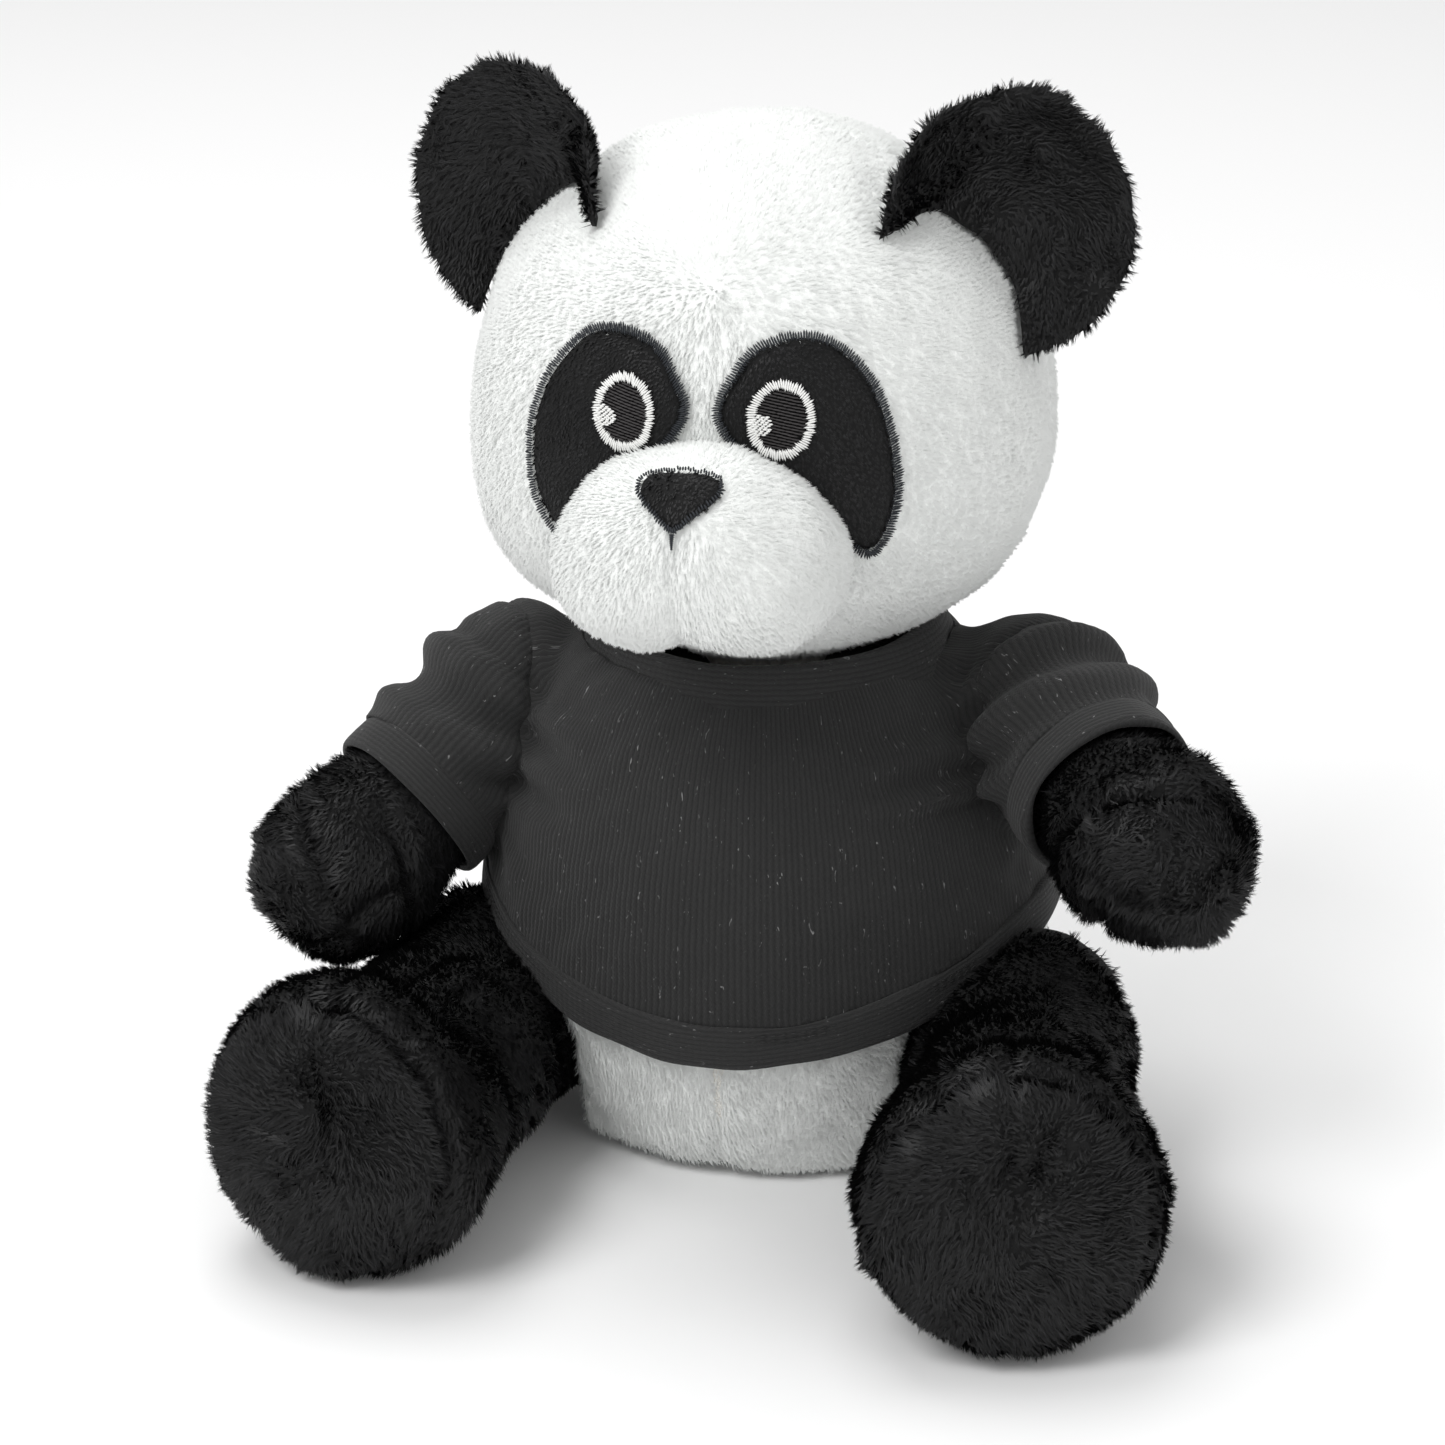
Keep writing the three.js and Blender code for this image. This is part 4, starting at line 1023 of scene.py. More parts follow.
def build_ear(name):
    side = SIDES[name]
    hinge, across, outward, back = ear_frame(name)
    reach, sides = 24.8, 96
    shares = np.linspace(0, 1, 34)
    thick = 1.7 * np.sqrt(np.clip(1 - shares ** 6, 0, 1)) + 0.4 * (1 - shares)
    front = np.stack([shares * reach, -thick], 1)
    rear = np.stack([shares * reach, thick], 1)[::-1][1:]
    rings = lathe(np.vstack([front, rear]), sides)
    x, y = rings[:, :, 0], rings[:, :, 1]
    cup = 7.6 * ((x ** 2 + y ** 2) / reach ** 2) ** 1.15
    root = 1 - ease(y, -16, 4)
    inner = ease(-x * side, 2, 20)
    curl = 5.5 * root * ease(np.abs(x), 6, 20) * (0.5 + inner)
    rings[:, :, 2] += -cup - curl + 1.2 * bump(np.hypot(x, y - 4), 9)
    swell = 1 + 0.03 * np.sin(np.arctan2(y, x) * 3 + side)
    rings[:, :, :2] *= swell[:, :, None]
    centre = hinge + outward * 6
    skin = capped(f"ear_{name}_skin", rings @ np.stack([across, outward, back]) + centre)
    push(skin, 0.4 * ripple(points_of(skin), 14, 131 + side))
    carve(skin, [capped("head_tool", orb(HEAD_CENTRE, HEAD_RADII - 0.6, 64, 96))])
    points = points_of(skin)
    spoke = points - centre
    combed(skin, spoke * 0.6 + np.cross(back, spoke) * 0.5 * side, 140 + side, clump=6,
           swirl=1.1, tufted=0.6)
    store(skin, "pile", ease(in_head(points, 0), 0.99, 1.005))
    finish_skin(skin, None, "black", 0.5, f"ear_{name}_front", f"ear_{name}_back")
    grown = grow_pile(skin, f"ear_{name}_pile", None, "black", 1.15, 20 + side, share=0.9)
    for piece in (skin, grown):
        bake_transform(piece)


# ---------------------------------------------------------------- face

PATCH_OUTLINE = [(2.6, 8), (5.2, 18.4), (10.4, 23.1), (17.9, 24.3), (24.9, 21.3), (31, 13.5),
                 (34, 2), (33.2, -9), (27.5, -16.7), (18, -8)]
NOSE_OUTLINE = [(0, 17.2), (6.6, 16.2), (7.6, 13.6), (3.6, 10.6), (0, 8.6), (-3.6, 10.6),
                (-7.6, 13.6), (-6.6, 16.2)]
EYE_ACROSS, EYE_UP, EYE_WIDE, EYE_TALL, EYE_STROKE = 14.0, 9.5, 12.0, 14.0, 1.9
PATCH_BORDER, NOSE_BORDER = 2.0, 1.2


def lifted(outline, height, side=1):
    return np.array([(x * side, z + height) for x, z in outline])


def in_outline(points, outline, margin):
    """1 inside a closed outline drawn from the front, 0 outside, for points of x, y and z."""
    line = spline(outline, 90, closed=True)
    centre = line.mean(0)
    flat = points[:, [0, 2]] - centre
    angle = np.arctan2(flat[:, 1], flat[:, 0])
    rim = line - centre
    rim_angle = np.arctan2(rim[:, 1], rim[:, 0])
    order = np.argsort(rim_angle)
    reach = np.interp(angle, rim_angle[order], np.hypot(*rim.T)[order], period=2 * math.pi)
    return (np.hypot(*flat.T) < reach - margin).astype(float)


def in_patch(points):
    both = [in_outline(points, lifted(PATCH_OUTLINE, HEAD_CENTRE[2], side), 1.0)
            for side in SIDES.values()]
    return np.maximum(*both)


def drawn_in(outline, distance):
    """An outline as an even line, pulled toward its middle."""
    line = spline(outline, 60, closed=True)
    return line + unit(line.mean(0) - line) * distance


def on_form(flat, centre, radii):
    """Points of across and up carried back onto the front of an ellipsoid, and its normals."""
    x, z = (flat[:, 0] - centre[0]) / radii[0], (flat[:, 1] - centre[2]) / radii[2]
    depth = np.sqrt(np.clip(1 - x ** 2 - z ** 2, 0.0, 1))
    points = np.stack([flat[:, 0], centre[1] - radii[1] * depth, flat[:, 1]], 1)
    return points, unit((points - centre) / radii ** 2)


def on_head(flat, grow):
    """Points on the head's own skin, seen from the front, lifted off it."""
    points, normals = on_form(flat, HEAD_CENTRE, HEAD_RADII - HEAD_INSET)
    return points + normals * (head_relief(points) + grow)[:, None], normals


def on_muzzle(flat, grow):
    points, normals = on_form(flat, MUZZLE_CENTRE, MUZZLE_RADII - MUZZLE_INSET)
    return points + normals * (muzzle_relief(points) + grow)[:, None], normals


def applique(name, outline, surface, low, high):
    """A soft patch of cloth inside an outline, lying on a surface, its edge turned under."""
    line = spline(outline, 72, closed=True)
    centre = line.mean(0)
    shares = np.linspace(0, 1, 16)
    layers = []
    for share in shares:
        rise = low + (high - low) * math.sqrt(max(1 - share ** 8, 0))
        layers.append(surface(centre + (line - centre) * share, rise)[0])
    for share in shares[::-1][1:]:
        layers.append(surface(centre + (line - centre) * share, low)[0])
    return capped(name, np.array(layers))


def sew(name, points, across, up, reach, colour, thread=0.42, height=0.5):
    """Satin stitches as one piece on the head."""
    base = make_mesh(name + "_points", points, [])
    store(base, "across", across, "FLOAT_VECTOR")
    store(base, "up", up, "FLOAT_VECTOR")
    store(base, "reach", np.asarray(reach) * MM)
    sewn = run_tree(name, base, TREES["stitch"], {
        "Thread": thread * MM, "Height": height * MM, "Material": MATERIALS[colour],
    })
    bpy.data.objects.remove(base)
    return sewn


def satin_border(name, outline, surface, width, grow, colour, seed, keep=None):
    """Stitches laid across an outline, edge to edge, a little uneven."""
    spacing = bpy.context.scene.panda_face.spacing / MM
    rough = spline(outline, 200, closed=True)
    around_it = np.linalg.norm(np.diff(np.vstack([rough, rough[:1]]), axis=0), axis=1).sum()
    line = spline(outline, int(around_it / spacing), closed=True)
    draw = np.random.default_rng(seed)
    way = np.roll(line, -1, 0) - np.roll(line, 1, 0)
    side = unit(np.stack([way[:, 1], -way[:, 0]], 1))
    middle = line.mean(0)
    side *= np.sign(np.sum(side * (line - middle), axis=1, keepdims=True))
    flat = line - side * (width * 0.5 + draw.uniform(-0.16, 0.16, (len(line), 1)))
    points, up = surface(flat, grow)
    outer, _ = surface(flat + side * 0.5, grow)
    across = unit(outer - points)
    slant = 0.18 + draw.uniform(-0.12, 0.12, (len(line), 1))
    across = unit(across + slant * np.cross(up, across))
    reach = width * draw.uniform(0.9, 1.32, len(line))
    if keep is not None:
        chosen = keep(points)
        points, across, up, reach = points[chosen], across[chosen], up[chosen], reach[chosen]
    return sew(name, points, across, up, reach, colour)


def filled(name, outline, surface, grow, colour, seed, row=0.34, stitch=2.3, lean=0.0,
           keep=None):
    """An outline filled with rows of short stitches."""
    line = spline(outline, 60, closed=True)
    draw = np.random.default_rng(seed)
    low, high = line.min(0), line.max(0)
    flat = []
    for k, height in enumerate(np.arange(low[1] + row, high[1] - row / 2, row)):
        start = low[0] + stitch * ((k * 0.37) % 1) - stitch
        for across in np.arange(start, high[0] + stitch, stitch):
            flat.append((across + draw.uniform(-0.12, 0.12), height))
    flat = np.array(flat)
    spots = np.stack([flat[:, 0], np.zeros(len(flat)), flat[:, 1]], 1)
    flat = flat[in_outline(spots, outline, 0.15 * stitch) > 0]
    points, up = surface(flat, grow)
    if keep is not None:
        chosen = keep(points)
        points, up, flat = points[chosen], up[chosen], flat[chosen]
    across, _ = surface(flat + (0.5, 0.5 * lean), grow)
    reach = stitch * draw.uniform(0.95, 1.15, len(points))
    return sew(name, points, unit(across - points), up, reach, colour, 0.4, 0.42)


def ellipse(across, up, wide, tall, count=24):
    angles = around(count)
    return np.stack([across + wide / 2 * np.cos(angles), up + tall / 2 * np.sin(angles)], 1)


def clear_of_muzzle(points):
    return np.linalg.norm((points - MUZZLE_CENTRE) / (MUZZLE_RADII - 1.5), axis=1) > 1


def build_eye(name):
    side = SIDES[name]
    outline = lifted(PATCH_OUTLINE, HEAD_CENTRE[2], side)
    inset = drawn_in(outline, PATCH_BORDER * 0.6)
    patch = applique(f"eye_patch_{name}_cloth", inset, on_head, 0.2, 1.3)
    carve(patch, [capped("muzzle_tool", orb(MUZZLE_CENTRE, MUZZLE_RADII - 1.6, 48, 72))])
    combed(patch, (0.5 * side, 0, -1.0), 150 + side, clump=6, swirl=0.5)
    points = points_of(patch)
    across, up = side * EYE_ACROSS, HEAD_CENTRE[2] + EYE_UP
    ring = ellipse(across, up, EYE_WIDE, EYE_TALL)
    out = np.sum(normals_of(patch) * unit(points - HEAD_CENTRE), axis=1) > 0.4
    store(patch, "pile", out * (1 - in_outline(points, ring, 0.2)))
    finish_piece(patch, "black_plush_ground", "head", "black_plush", f"eye_patch_{name}")
    grow_pile(patch, f"eye_patch_{name}_pile", "head", "black", 1.6, 40 + side, cut="patch")
    border = satin_border(f"patch_border_{name}_stitches", outline, on_head, PATCH_BORDER, 1.35,
                          "black_satin_thread", 160 + side, keep=clear_of_muzzle)
    finish_piece(border, None, "head", "black_thread", f"patch_border_{name}")
    stroke = satin_border(f"eye_ring_{name}_stitches", ring, on_head, EYE_STROKE, 2.0,
                          "white_satin_thread", 170 + side, keep=clear_of_muzzle)
    finish_piece(stroke, None, "head", "white_thread", f"eye_ring_{name}")
    inner = ellipse(across, up, EYE_WIDE - 2.6, EYE_TALL - 2.6)
    iris = filled(f"iris_{name}_stitches", inner, on_head, 1.75, "iris_satin_thread",
                  180 + side, lean=-0.2, keep=clear_of_muzzle)
    finish_piece(iris, None, "head", "black_thread", f"iris_{name}")
    spot = ellipse(across - 3.4, up - 0.8, 4.2, 3.8, 16)
    light = filled(f"highlight_{name}_stitches", spot, on_head, 2.2, "white_satin_thread",
                   190 + side, row=0.3, stitch=0.9)
    finish_piece(light, None, "head", "white_thread", f"highlight_{name}")


def build_nose():
    outline = lifted(NOSE_OUTLINE, MUZZLE_CENTRE[2])
    patch = applique("nose_cloth", drawn_in(outline, NOSE_BORDER * 0.6), on_muzzle, 0.2, 1.5)
    combed(patch, (0.3, 0, -1.0), 201, clump=5, swirl=0.7)
    out = np.sum(normals_of(patch) * unit(points_of(patch) - MUZZLE_CENTRE), axis=1) > 0.3
    store(patch, "pile", out)
    finish_piece(patch, "black_plush_ground", "head", "black_plush", "nose_patch")
    grow_pile(patch, "nose_pile", "head", "black", 1.8, 50, cut="patch")
    border = satin_border("nose_border_stitches", outline, on_muzzle, NOSE_BORDER, 1.5,
                          "black_satin_thread", 211)
    finish_piece(border, None, "head", "black_thread", "nose_stitching")
    tip = MUZZLE_CENTRE[2] + NOSE_OUTLINE[4][1]
    flat = np.array([(0, tip - 0.3 * k) for k in range(8)])
    points, up = on_muzzle(flat, 1.3)
    across = np.tile((1.0, 0, 0), (len(points), 1))
    reach = np.linspace(1.2, 0.5, len(points))
    line = sew("nose_tip_stitches", points, across, up, reach, "black_satin_thread")
    finish_piece(line, None, "head", "black_thread")


# ---------------------------------------------------------------- shirt

SHIRT_GAP = 1.5
HEM_FRONT, HEM_LIFT, HEM_BAND = 29.0, 15.0, 8.5
COLLAR_BASE = span(("collar_rib",))[0][2]
NECK_OPENING = 36.8
COLLAR_RADIUS, COLLAR_BAND, COLLAR_LEAN = 36.6, 9.0, 0.45
NOD_SHARE = 0.25                              # how much of the nod the collar stays clear of
SLEEVE_END, CUFF_WIDTH, CUFF_RADIUS = 34.0, 8.0, 17.2
RIB, TOPSTITCH_ROWS = 1.9, (1.5, 2.6)
FLAP_OUT, FLAP_WALL, FLAP_HALF = 4.1, 1.1, 8.5
ARMHOLE = {"left": unit(np.array([0.75, -0.6, 0.28])),
           "right": unit(np.array([-0.8, -0.5, 0.3]))}


def hem_height(x):
    share = np.minimum(np.abs(x) / TORSO_HALF, 1)
    return HEM_FRONT + HEM_LIFT * share ** 2


def lower(made, sign):
    """Straighten the hem's curve for a cut, or bend it back."""
    points = points_of(made)
    points[:, 2] += sign * hem_height(points[:, 0])
    put_points(made, points)


def sleeve_form(name):
    line = spline([(0, -16), (12, -13), (17, -4), (18.2, 8), (17.6, 20), (17.2, 30), (17, 40),
                   (10, 44), (0, 45)], 40)
    return capped("sleeve_form", stood(lathe(line, 48), ARM[name]))


def shoulder_form(name):
    """The cloth that runs full from the collar over the top of the arm."""
    centre = np.array([SIDES[name] * 37.0, -1.0, ARM[name]["pivot"][2]])
    return capped("shoulder_form", orb(centre, np.array([19.0, 17.0, 14.0]), 24, 32))


def armpit(name):
    limb = ARM[name]
    return limb["pivot"] + limb["along"] * 13 - limb["up"] * 15 + np.array([0, -9.0, 0])


def shirt_folds(points):
    """Folds that fan out from each armpit, up over the sleeve and across the chest."""
    height = bpy.context.scene.panda_shirt.fold / MM
    total = np.zeros(len(points))
    for name, side in SIDES.items():
        way, edge = ARMHOLE[name], torso_edge(ARMHOLE[name])
        aside, up, along = own(points, ARM[name]).T
        above, out = up + 15, along - 1
        distance = np.hypot(above, out)
        angle = np.arctan2(out, np.maximum(above, 0.1))
        wave = np.sin(angle * 13.5 + 0.9 * side + 0.012 * aside * side)
        ridges = np.sign(wave) * np.abs(wave) ** 0.8
        fan = ease(distance, 5, 13) * (1 - ease(distance, 32, 50))
        sleeve = ease(angle, -0.1, 0.15) * (1 - ease(angle, 1.0, 1.35))
        cuff = 1 - ease(along, SLEEVE_END - CUFF_WIDTH - 7, SLEEVE_END - CUFF_WIDTH)
        total += height * ridges * fan * sleeve * cuff * ease(points @ way, edge - 7, edge + 2)
        away = points - armpit(name)
        reach = np.linalg.norm(away, axis=1)
        drag = np.sin(np.arctan2(away[:, 2], -side * away[:, 0]) * 7 + 0.04 * reach)
        body = 1 - ease(points @ way, edge - 4, edge)
        total += 0.22 * height * drag * body * ease(reach, 4, 12) * (1 - ease(reach, 14, 34))
        total -= 1.1 * bump(points @ way - edge, 1.3)
    drift = 0.5 * ripple(points * (1, 1, 0.6), 26, 221) + 0.18 * ripple(points, 9, 222)
    return total + drift


def corners_of(made):
    """The vertex at each corner of the faces."""
    corner = np.zeros(len(made.data.loops), np.int32)
    made.data.loops.foreach_get("vertex_index", corner)
    return corner


def store_knit(made, across, along):
    layer = made.data.uv_layers.new(name="knit")
    layer.data.foreach_set("uv", np.stack([across, along], 1).ravel())


def knit_map(made, limb=None):
    """A UV map in millimetres: round the body or the arm, and along it."""
    points = points_of(made)
    if limb is None:
        radius = 16 * round(TORSO_HALF * 2 * math.pi / 16) / (2 * math.pi)
        round_it = np.arctan2(points[:, 0], -points[:, 1] / TORSO_FLATNESS)
        length = points[:, 2]
    else:
        aside, up, length = own(points, limb).T
        radius, round_it = 16.0, np.arctan2(aside, up)
    corner = corners_of(made)
    across = round_it[corner]
    starts = np.zeros(len(made.data.polygons), np.int32)
    totals = np.zeros(len(made.data.polygons), np.int32)
    made.data.polygons.foreach_get("loop_start", starts)
    made.data.polygons.foreach_get("loop_total", totals)
    owner = np.repeat(np.arange(len(starts)), totals)
    most = np.full(len(starts), -9.0)
    np.maximum.at(most, owner, across)
    across = np.where(most[owner] - across > math.pi, across + 2 * math.pi, across)
    store_knit(made, across * radius, length[corner])


def build_shirt():
    shirt = bpy.context.scene.panda_shirt
    blank = capped("shirt_blank", lathe(torso_line(-SHIRT_GAP, 60), 110, TORSO_FLATNESS))
    forms = [maker(name) for name in SIDES for maker in (sleeve_form, shoulder_form)]
    carve(blank, forms, "UNION")
    remesh(blank, 1.5, 9)
    points = points_of(blank)
    push(blank, 0.7 + shirt_folds(points) * ease(points[:, 2], 36, 44))
    lower(blank, -1)
    slice_off(blank, (0, 0, HEM_BAND - 0.6), DOWN)
    lower(blank, 1)
    open_neck(blank)
    body = twin(blank, "shirt_body")
    for name in SIDES:
        limb, way = ARM[name], ARMHOLE[name]
        edge = torso_edge(way)
        sleeve = twin(blank, f"sleeve_{name}_cloth")
        slice_off(sleeve, way * edge, -way)
        slice_off(sleeve, limb["pivot"] + limb["along"] * (SLEEVE_END - CUFF_WIDTH + 0.5),
                  limb["along"])
        slice_off(body, way * edge, way)
        thicken(sleeve, shirt.cloth)
        knit_map(sleeve, limb)
        finish_piece(sleeve, "shirt_jersey_knit", None, "shirt_jersey", f"sleeve_{name}")
        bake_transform(sleeve)
    bpy.data.objects.remove(blank)
    thicken(body, shirt.cloth)
    knit_map(body)
    finish_piece(body, "shirt_jersey_knit", "torso", "shirt_jersey", "shirt_front",
                 "shirt_back_left", "shirt_back_right")


def open_neck(made):
    """Cut a clean round neck opening and drop the cloth inside it."""
    low, high = COLLAR_BASE - 14, COLLAR_BASE + 30
    line = np.array([(0, low), (NECK_OPENING, low), (NECK_OPENING, high), (0, high)])
    carve(made, [capped("neck_tool", lathe(line, 120, TORSO_FLATNESS))])
    with opened(made) as work:
        inside = []
        for face in work.faces:
            x, y, z = face.calc_center_median() / MM
            if math.hypot(x, y / TORSO_FLATNESS) < NECK_OPENING + 0.05 and z > low - 1:
                inside.append(face)
        bmesh.ops.delete(work, geom=inside, context="FACES")


def torso_edge(way):
    """How far the shirt's body reaches along a way, with room for its folds."""
    points = lathe(torso_line(-SHIRT_GAP, 60), 110, TORSO_FLATNESS).reshape(-1, 3)
    worn = points[points[:, 2] > hem_height(points[:, 0])]
    return float((worn @ way).max() + 1.2)


def torso_radius(heights, grow):
    """The torso's half width at some heights, moved out by a distance."""
    line = torso_line(-grow, 200)
    rising = line[:int(np.argmax(line[:, 1])) + 1]
    return np.interp(heights, rising[:, 1], rising[:, 0])


def band_section(height, thickness, count=20):
    """Across and up of a flat rib band with rounded edges."""
    angles = around(count)
    x = np.sign(np.cos(angles)) * np.abs(np.cos(angles)) ** 0.6 * thickness / 2
    z = np.sign(np.sin(angles)) * np.abs(np.sin(angles)) ** 0.45 * height / 2
    return x, z


def rib_piece(made, body, node, across, along):
    """A rib band, its knit's columns running along it."""
    corner = corners_of(made)
    store_knit(made, across[corner], along[corner])
    finish_piece(made, "shirt_rib_knit", body, "shirt_rib", node)


def about_torso(angles):
    """Ways out from the torso's middle, from 0 at the front, as flat as it is."""
    return np.stack([np.sin(angles), -np.cos(angles) * TORSO_FLATNESS], -1)


def build_hem():
    x, z = band_section(HEM_BAND, RIB)
    rings = []
    for way in about_torso(around(180)):
        heights = hem_height(TORSO_HALF * way[0]) + HEM_BAND / 2 + z
        radius = torso_radius(heights, SHIRT_GAP + 0.9) + x
        rings.append(np.stack([way[0] * radius, way[1] * radius, heights], 1))
    band = hooped("hem_rib", np.array(rings))
    points = points_of(band)
    push(band, 0.3 * ripple(points, 22, 231))
    rib_piece(band, "torso", "hem_band", points[:, 2] - hem_height(points[:, 0]),
              np.arctan2(points[:, 0], -points[:, 1]) * TORSO_HALF)
    way = about_torso(around(190))
    for row in TOPSTITCH_ROWS:
        heights = hem_height(TORSO_HALF * way[:, 0]) + HEM_BAND - row
        radius = torso_radius(heights, SHIRT_GAP + 1.75)
        spots = np.stack([way[:, 0] * radius, way[:, 1] * radius, heights], 1)
        ahead = unit(np.roll(spots, -1, 0) - spots)
        sewn = sew(f"hem_topstitch_{int(row)}", spots, ahead, unit(spots * (1, 1, 0)),
                   np.full(len(spots), 1.3), "shirt_sewing_thread", 0.32, 0.3)
        finish_piece(sewn, None, "torso", "black_thread")


def clear_of_head(section):
    """Move one section of the collar clear of the head over the first part of its nod."""
    joint = JOINTS["neck_nod"]
    pivot, axis = np.array(joint["pos_m"]) / MM, Vector(joint["axis"])
    for degrees in (*joint["range_deg"], 0):
        turn = np.array(Quaternion(axis, math.radians(NOD_SHARE * degrees)).to_matrix())
        local = (section - pivot) @ turn + pivot
        depth = in_head(local, 0.6)
        deepest = int(np.argmin(depth))
        if depth[deepest] < 1:
            way = unit((local[deepest] - HEAD_CENTRE) / HEAD_RADII ** 2) @ turn.T
            section = section + way * (1 - depth[deepest]) * HEAD_RADII[2]
    return section


def build_collar():
    x, z = band_section(COLLAR_BAND, 2.0)
    rings = []
    for way in about_torso(around(150)):
        height = COLLAR_BASE + 1.6 + z + 0.9 * way[0]
        radius = COLLAR_RADIUS + x - COLLAR_LEAN * (z + 3.5)
        rings.append(clear_of_head(np.stack([way[0] * radius, way[1] * radius, height], 1)))
    collar = hooped("collar_band", np.array(rings))
    points = points_of(collar)
    push(collar, 0.22 * ripple(points, 20, 241))
    rib_piece(collar, "torso", "collar_rib", points[:, 2],
              np.arctan2(points[:, 0], -points[:, 1]) * 36)


def build_cuff(name):
    limb = ARM[name]
    x, z = band_section(CUFF_WIDTH, RIB)
    rings = []
    for angle in around(96):
        radius = CUFF_RADIUS + x + 0.25 * math.sin(3 * angle)
        along = SLEEVE_END - CUFF_WIDTH / 2 + z
        rings.append(np.stack([np.sin(angle) * radius, np.cos(angle) * radius, along], 1))
    cuff = hooped(f"cuff_{name}_rib", stood(np.array(rings), limb))
    points = points_of(cuff)
    push(cuff, 0.3 * ripple(points, 14, 251))
    aside, up, along = own(points, limb).T
    rib_piece(cuff, f"arm_{name}", f"cuff_{name}", along, np.arctan2(aside, up) * 17)


def on_back(across, height, out):
    """Points on the shirt's back at one height, a distance out from the torso."""
    radius = torso_radius(height, out)
    depth = np.sqrt(1 - (across / radius) ** 2) * radius * TORSO_FLATNESS
    return np.stack([across, depth, np.full_like(across, height)], 1)


def build_flap():
    """The back closure's flap, with its stitched edge."""
    low, high = span(("closure_hook", "closure_loop"))
    heights = np.linspace(low[2] - 3, high[2] + 3, 40)
    across = np.linspace(-FLAP_HALF, FLAP_HALF + 2, 26)
    outer = np.array([on_back(across, height, FLAP_OUT + FLAP_WALL) for height in heights])
    inner = np.array([on_back(across, height, FLAP_OUT) for height in heights])
    wrapped = np.concatenate([outer, inner[:, ::-1]], axis=1)
    ends = wrapped.mean(1, keepdims=True).repeat(wrapped.shape[1], 1)
    flap = capped("closure_flap", np.concatenate([ends[:1], wrapped, ends[-1:]]))
    knit_map(flap)
    finish_piece(flap, "shirt_jersey_knit", "torso", "shirt_jersey")
    edges = np.array([-FLAP_HALF + 1.2, FLAP_HALF + 0.8])
    rows = [on_back(edges, height, FLAP_OUT + FLAP_WALL)
            for height in np.arange(heights[1], heights[-2], 1.9)]
    spots = np.concatenate(np.swapaxes(rows, 0, 1))
    sewn = sew("closure_topstitch", spots, np.tile((0, 0, 1.0), (len(spots), 1)),
               unit(spots * (1, 1, 0)), np.full(len(spots), 1.4), "shirt_sewing_thread",
               0.34, 0.3)
    finish_piece(sewn, None, "torso", "black_thread")


# ---------------------------------------------------------------- inner parts and stage

INNER_FINISHES = {
    "stuffing": "polyester_fibre", "bean_bag": "unbleached_cotton",
    "bean_fill": "polyethylene_pellets", "closure": "woven_nylon_hooks",
    "care_label": "satin_ribbon_weave",
}


def finish_inner_parts():
    for name, node in frame["nodes"].items():
        for key, finish in INNER_FINISHES.items():
            if key in name:
                paint(node, finish)


# Each light's place, size in metres and power in watts.
LIGHTS = {"key": ((-0.6, -1.0, 1.4), 0.8, 14.2), "fill": ((1.2, -0.9, 0.7), 1.2, 3),
          "top": ((-0.3, 0.4, 1.7), 1.0, 11)}
LIGHT_TARGET, CAMERA_TARGET = Vector((0, 0, 0.09)), Vector((-0.0095, 0, 0.078))
FLOOR_HALF = 3000


def aimed(name, data, place, look, roll=0.0):
    """A lamp or the camera in its place, looking one way."""
    made = placed(name, data)
    made.location = place
    made.rotation_mode = "QUATERNION"
    made.rotation_quaternion = look.to_track_quat("-Z", "Y") @ Quaternion((0, 0, 1), roll)
    return made


def build_stage():
    stage = bpy.context.scene.panda_stage
    corners = [(x * FLOOR_HALF, y * FLOOR_HALF, 0) for x, y in ((-1, -1), (1, -1), (1, 1), (-1, 1))]
    floor = make_mesh("studio_floor", corners, [(0, 1, 2, 3)])
    new_material("studio_paper", stage.floor, 0.9)
    paint(floor, "studio_paper")
    world = bpy.data.worlds.new("soft studio")
    bpy.context.scene.world = world
    world.use_nodes = True
    sky = world.node_tree.nodes["Background"]
    sky.inputs["Color"].default_value = (1, 1, 1, 1)
    sky.inputs["Strength"].default_value = 0.55
    for name, (place, size, power) in LIGHTS.items():
        data = bpy.data.lights.new(name, "AREA")
        data.size, data.energy = size, power
        aimed(name, data, place, LIGHT_TARGET - Vector(place))
    bpy.context.scene.view_settings.view_transform = "Standard"
    a, e = stage.azimuth, stage.elevation
    back = Vector((math.sin(a) * math.cos(e), -math.cos(a) * math.cos(e), math.sin(e)))
    data = bpy.data.cameras.new("camera")
    data.lens, data.sensor_width = stage.lens, 36
    place = CAMERA_TARGET + back * stage.distance
    bpy.context.scene.camera = aimed("camera", data, place, -back, stage.roll)


# ---------------------------------------------------------------- add-on

class PANDA_OT_stage(bpy.types.Operator):
    """Set up the floor, lights, camera, materials and node trees"""
    bl_idname = "panda.stage"
    bl_label = "Stage and materials"

    def execute(self, context):
        make_materials()
        build_stage()
        return {"FINISHED"}


class PANDA_OT_torso(bpy.types.Operator):
    """Make the torso's skins, the tail and the label, and give the inner parts their finishes"""
    bl_idname = "panda.torso"
    bl_label = "Torso"

    def execute(self, context):
        finish_inner_parts()
        build_torso()
        build_tail()
        build_label()
        return {"FINISHED"}


class PANDA_OT_limbs(bpy.types.Operator):
    """Stuff and comb both legs and both arms"""
    bl_idname = "panda.limbs"
    bl_label = "Arms and legs"

    def execute(self, context):
        for name in SIDES:
            build_leg(name)
            build_arm(name)
        return {"FINISHED"}


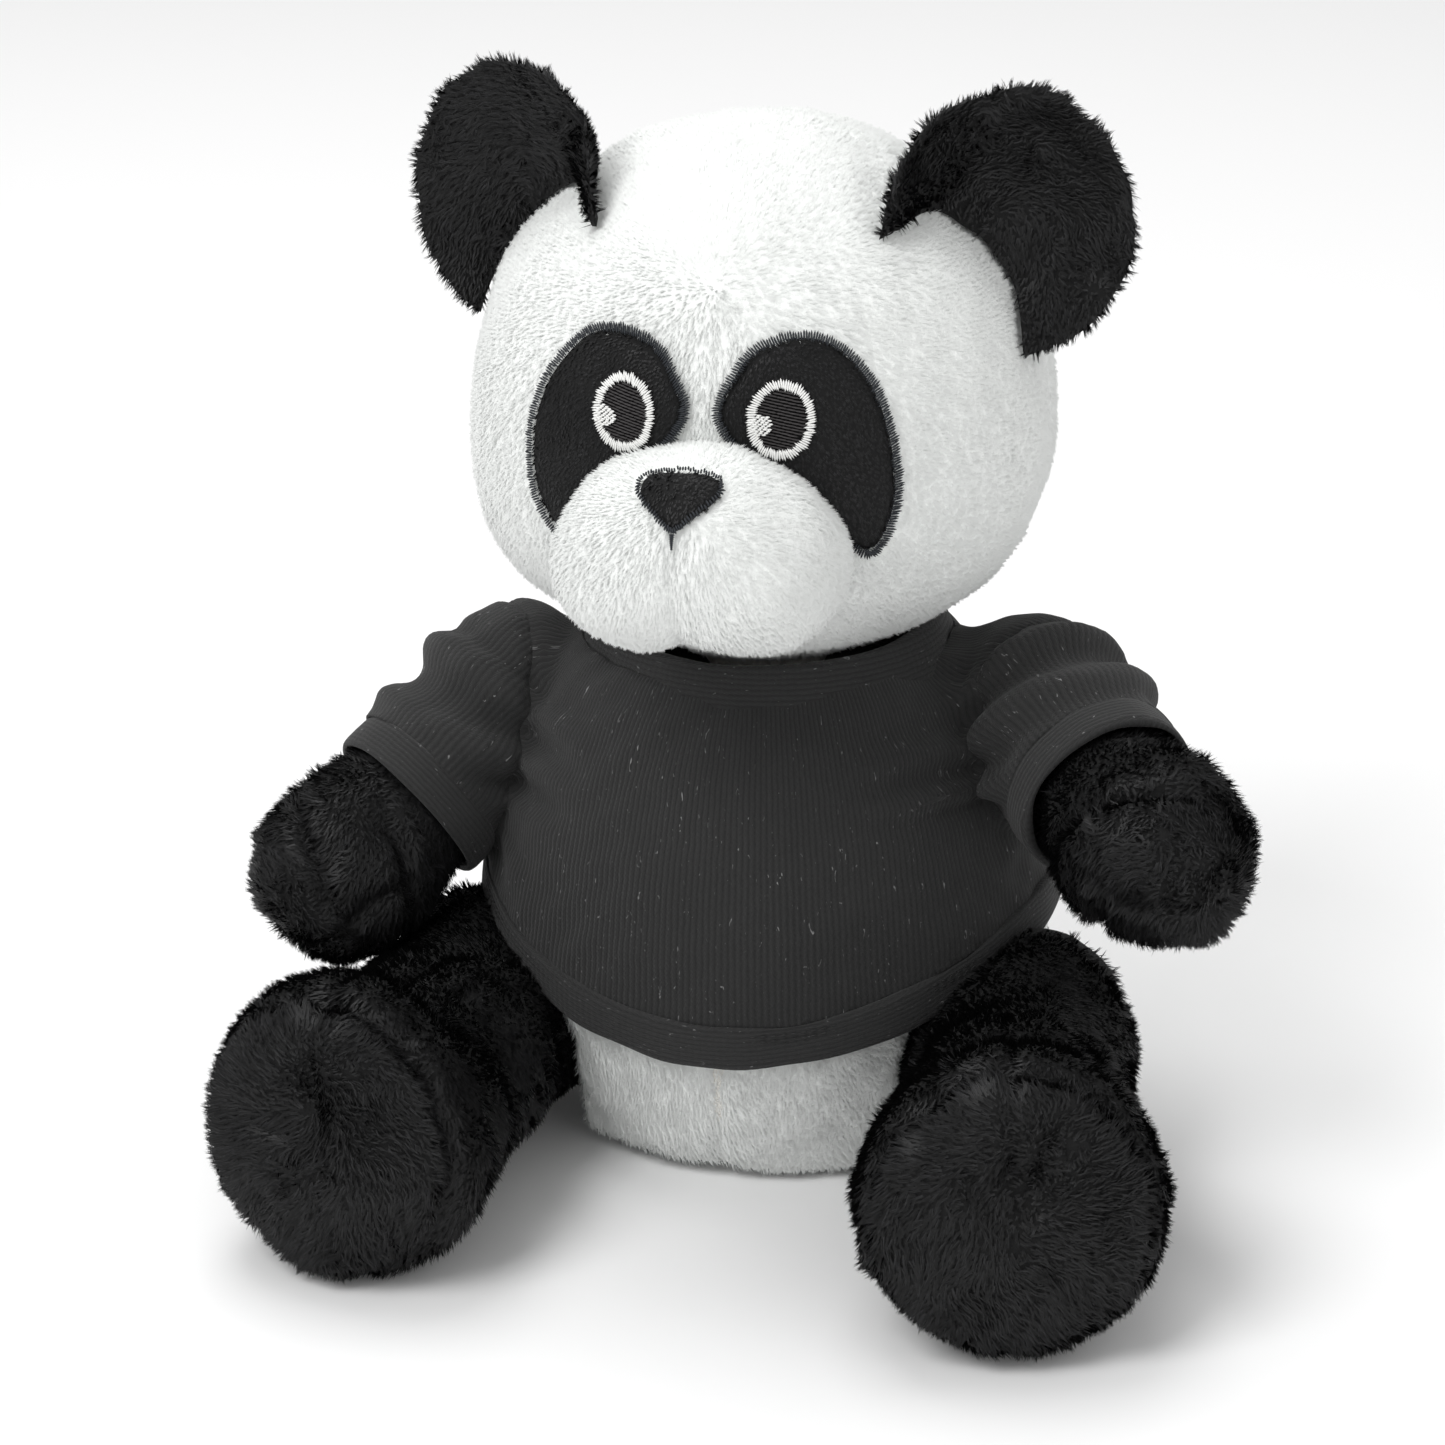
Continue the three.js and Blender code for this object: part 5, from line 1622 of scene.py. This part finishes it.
class PANDA_OT_head(bpy.types.Operator):
    """Stuff and comb the head and muzzle, and comb the ears"""
    bl_idname = "panda.head"
    bl_label = "Head, muzzle and ears"

    def execute(self, context):
        build_head()
        build_muzzle()
        for name in SIDES:
            build_ear(name)
        return {"FINISHED"}


class PANDA_OT_face(bpy.types.Operator):
    """Sew on the eye patches, eyes and nose"""
    bl_idname = "panda.face"
    bl_label = "Face"

    def execute(self, context):
        for name in SIDES:
            build_eye(name)
        build_nose()
        return {"FINISHED"}


class PANDA_OT_shirt(bpy.types.Operator):
    """Knit the shirt, its sleeves, ribs and back closure"""
    bl_idname = "panda.shirt"
    bl_label = "Shirt"

    def execute(self, context):
        build_shirt()
        build_hem()
        build_collar()
        for name in SIDES:
            build_cuff(name)
        build_flap()
        return {"FINISHED"}


OPERATORS = (PANDA_OT_stage, PANDA_OT_torso, PANDA_OT_limbs, PANDA_OT_head, PANDA_OT_face,
             PANDA_OT_shirt)


class PANDA_PT_workshop(bpy.types.Panel):
    """Lists the steps and the settings"""
    bl_label = "Plush panda"
    bl_space_type = "VIEW_3D"
    bl_region_type = "UI"
    bl_category = "Plush panda"

    def draw(self, context):
        for step in OPERATORS:
            self.layout.operator(step.bl_idname)
        for group in SETTINGS:
            owner = getattr(context.scene, group)
            for name in SETTINGS[group].__annotations__:
                self.layout.prop(owner, name)


SETTINGS = {"panda_pile": PandaPileSettings, "panda_shirt": PandaShirtSettings,
            "panda_face": PandaFaceSettings, "panda_stage": PandaStageSettings}


def register():
    for group, kind in SETTINGS.items():
        bpy.utils.register_class(kind)
        setattr(bpy.types.Scene, group, PointerProperty(type=kind))
    for kind in (*OPERATORS, PANDA_PT_workshop):
        bpy.utils.register_class(kind)


def unregister():
    for kind in (PANDA_PT_workshop, *reversed(OPERATORS)):
        bpy.utils.unregister_class(kind)
    for group, kind in SETTINGS.items():
        delattr(bpy.types.Scene, group)
        bpy.utils.unregister_class(kind)


def main():
    register()
    for step in OPERATORS:
        area, name = step.bl_idname.split(".")
        getattr(getattr(bpy.ops, area), name)()


if __name__ == "__main__":
    main()
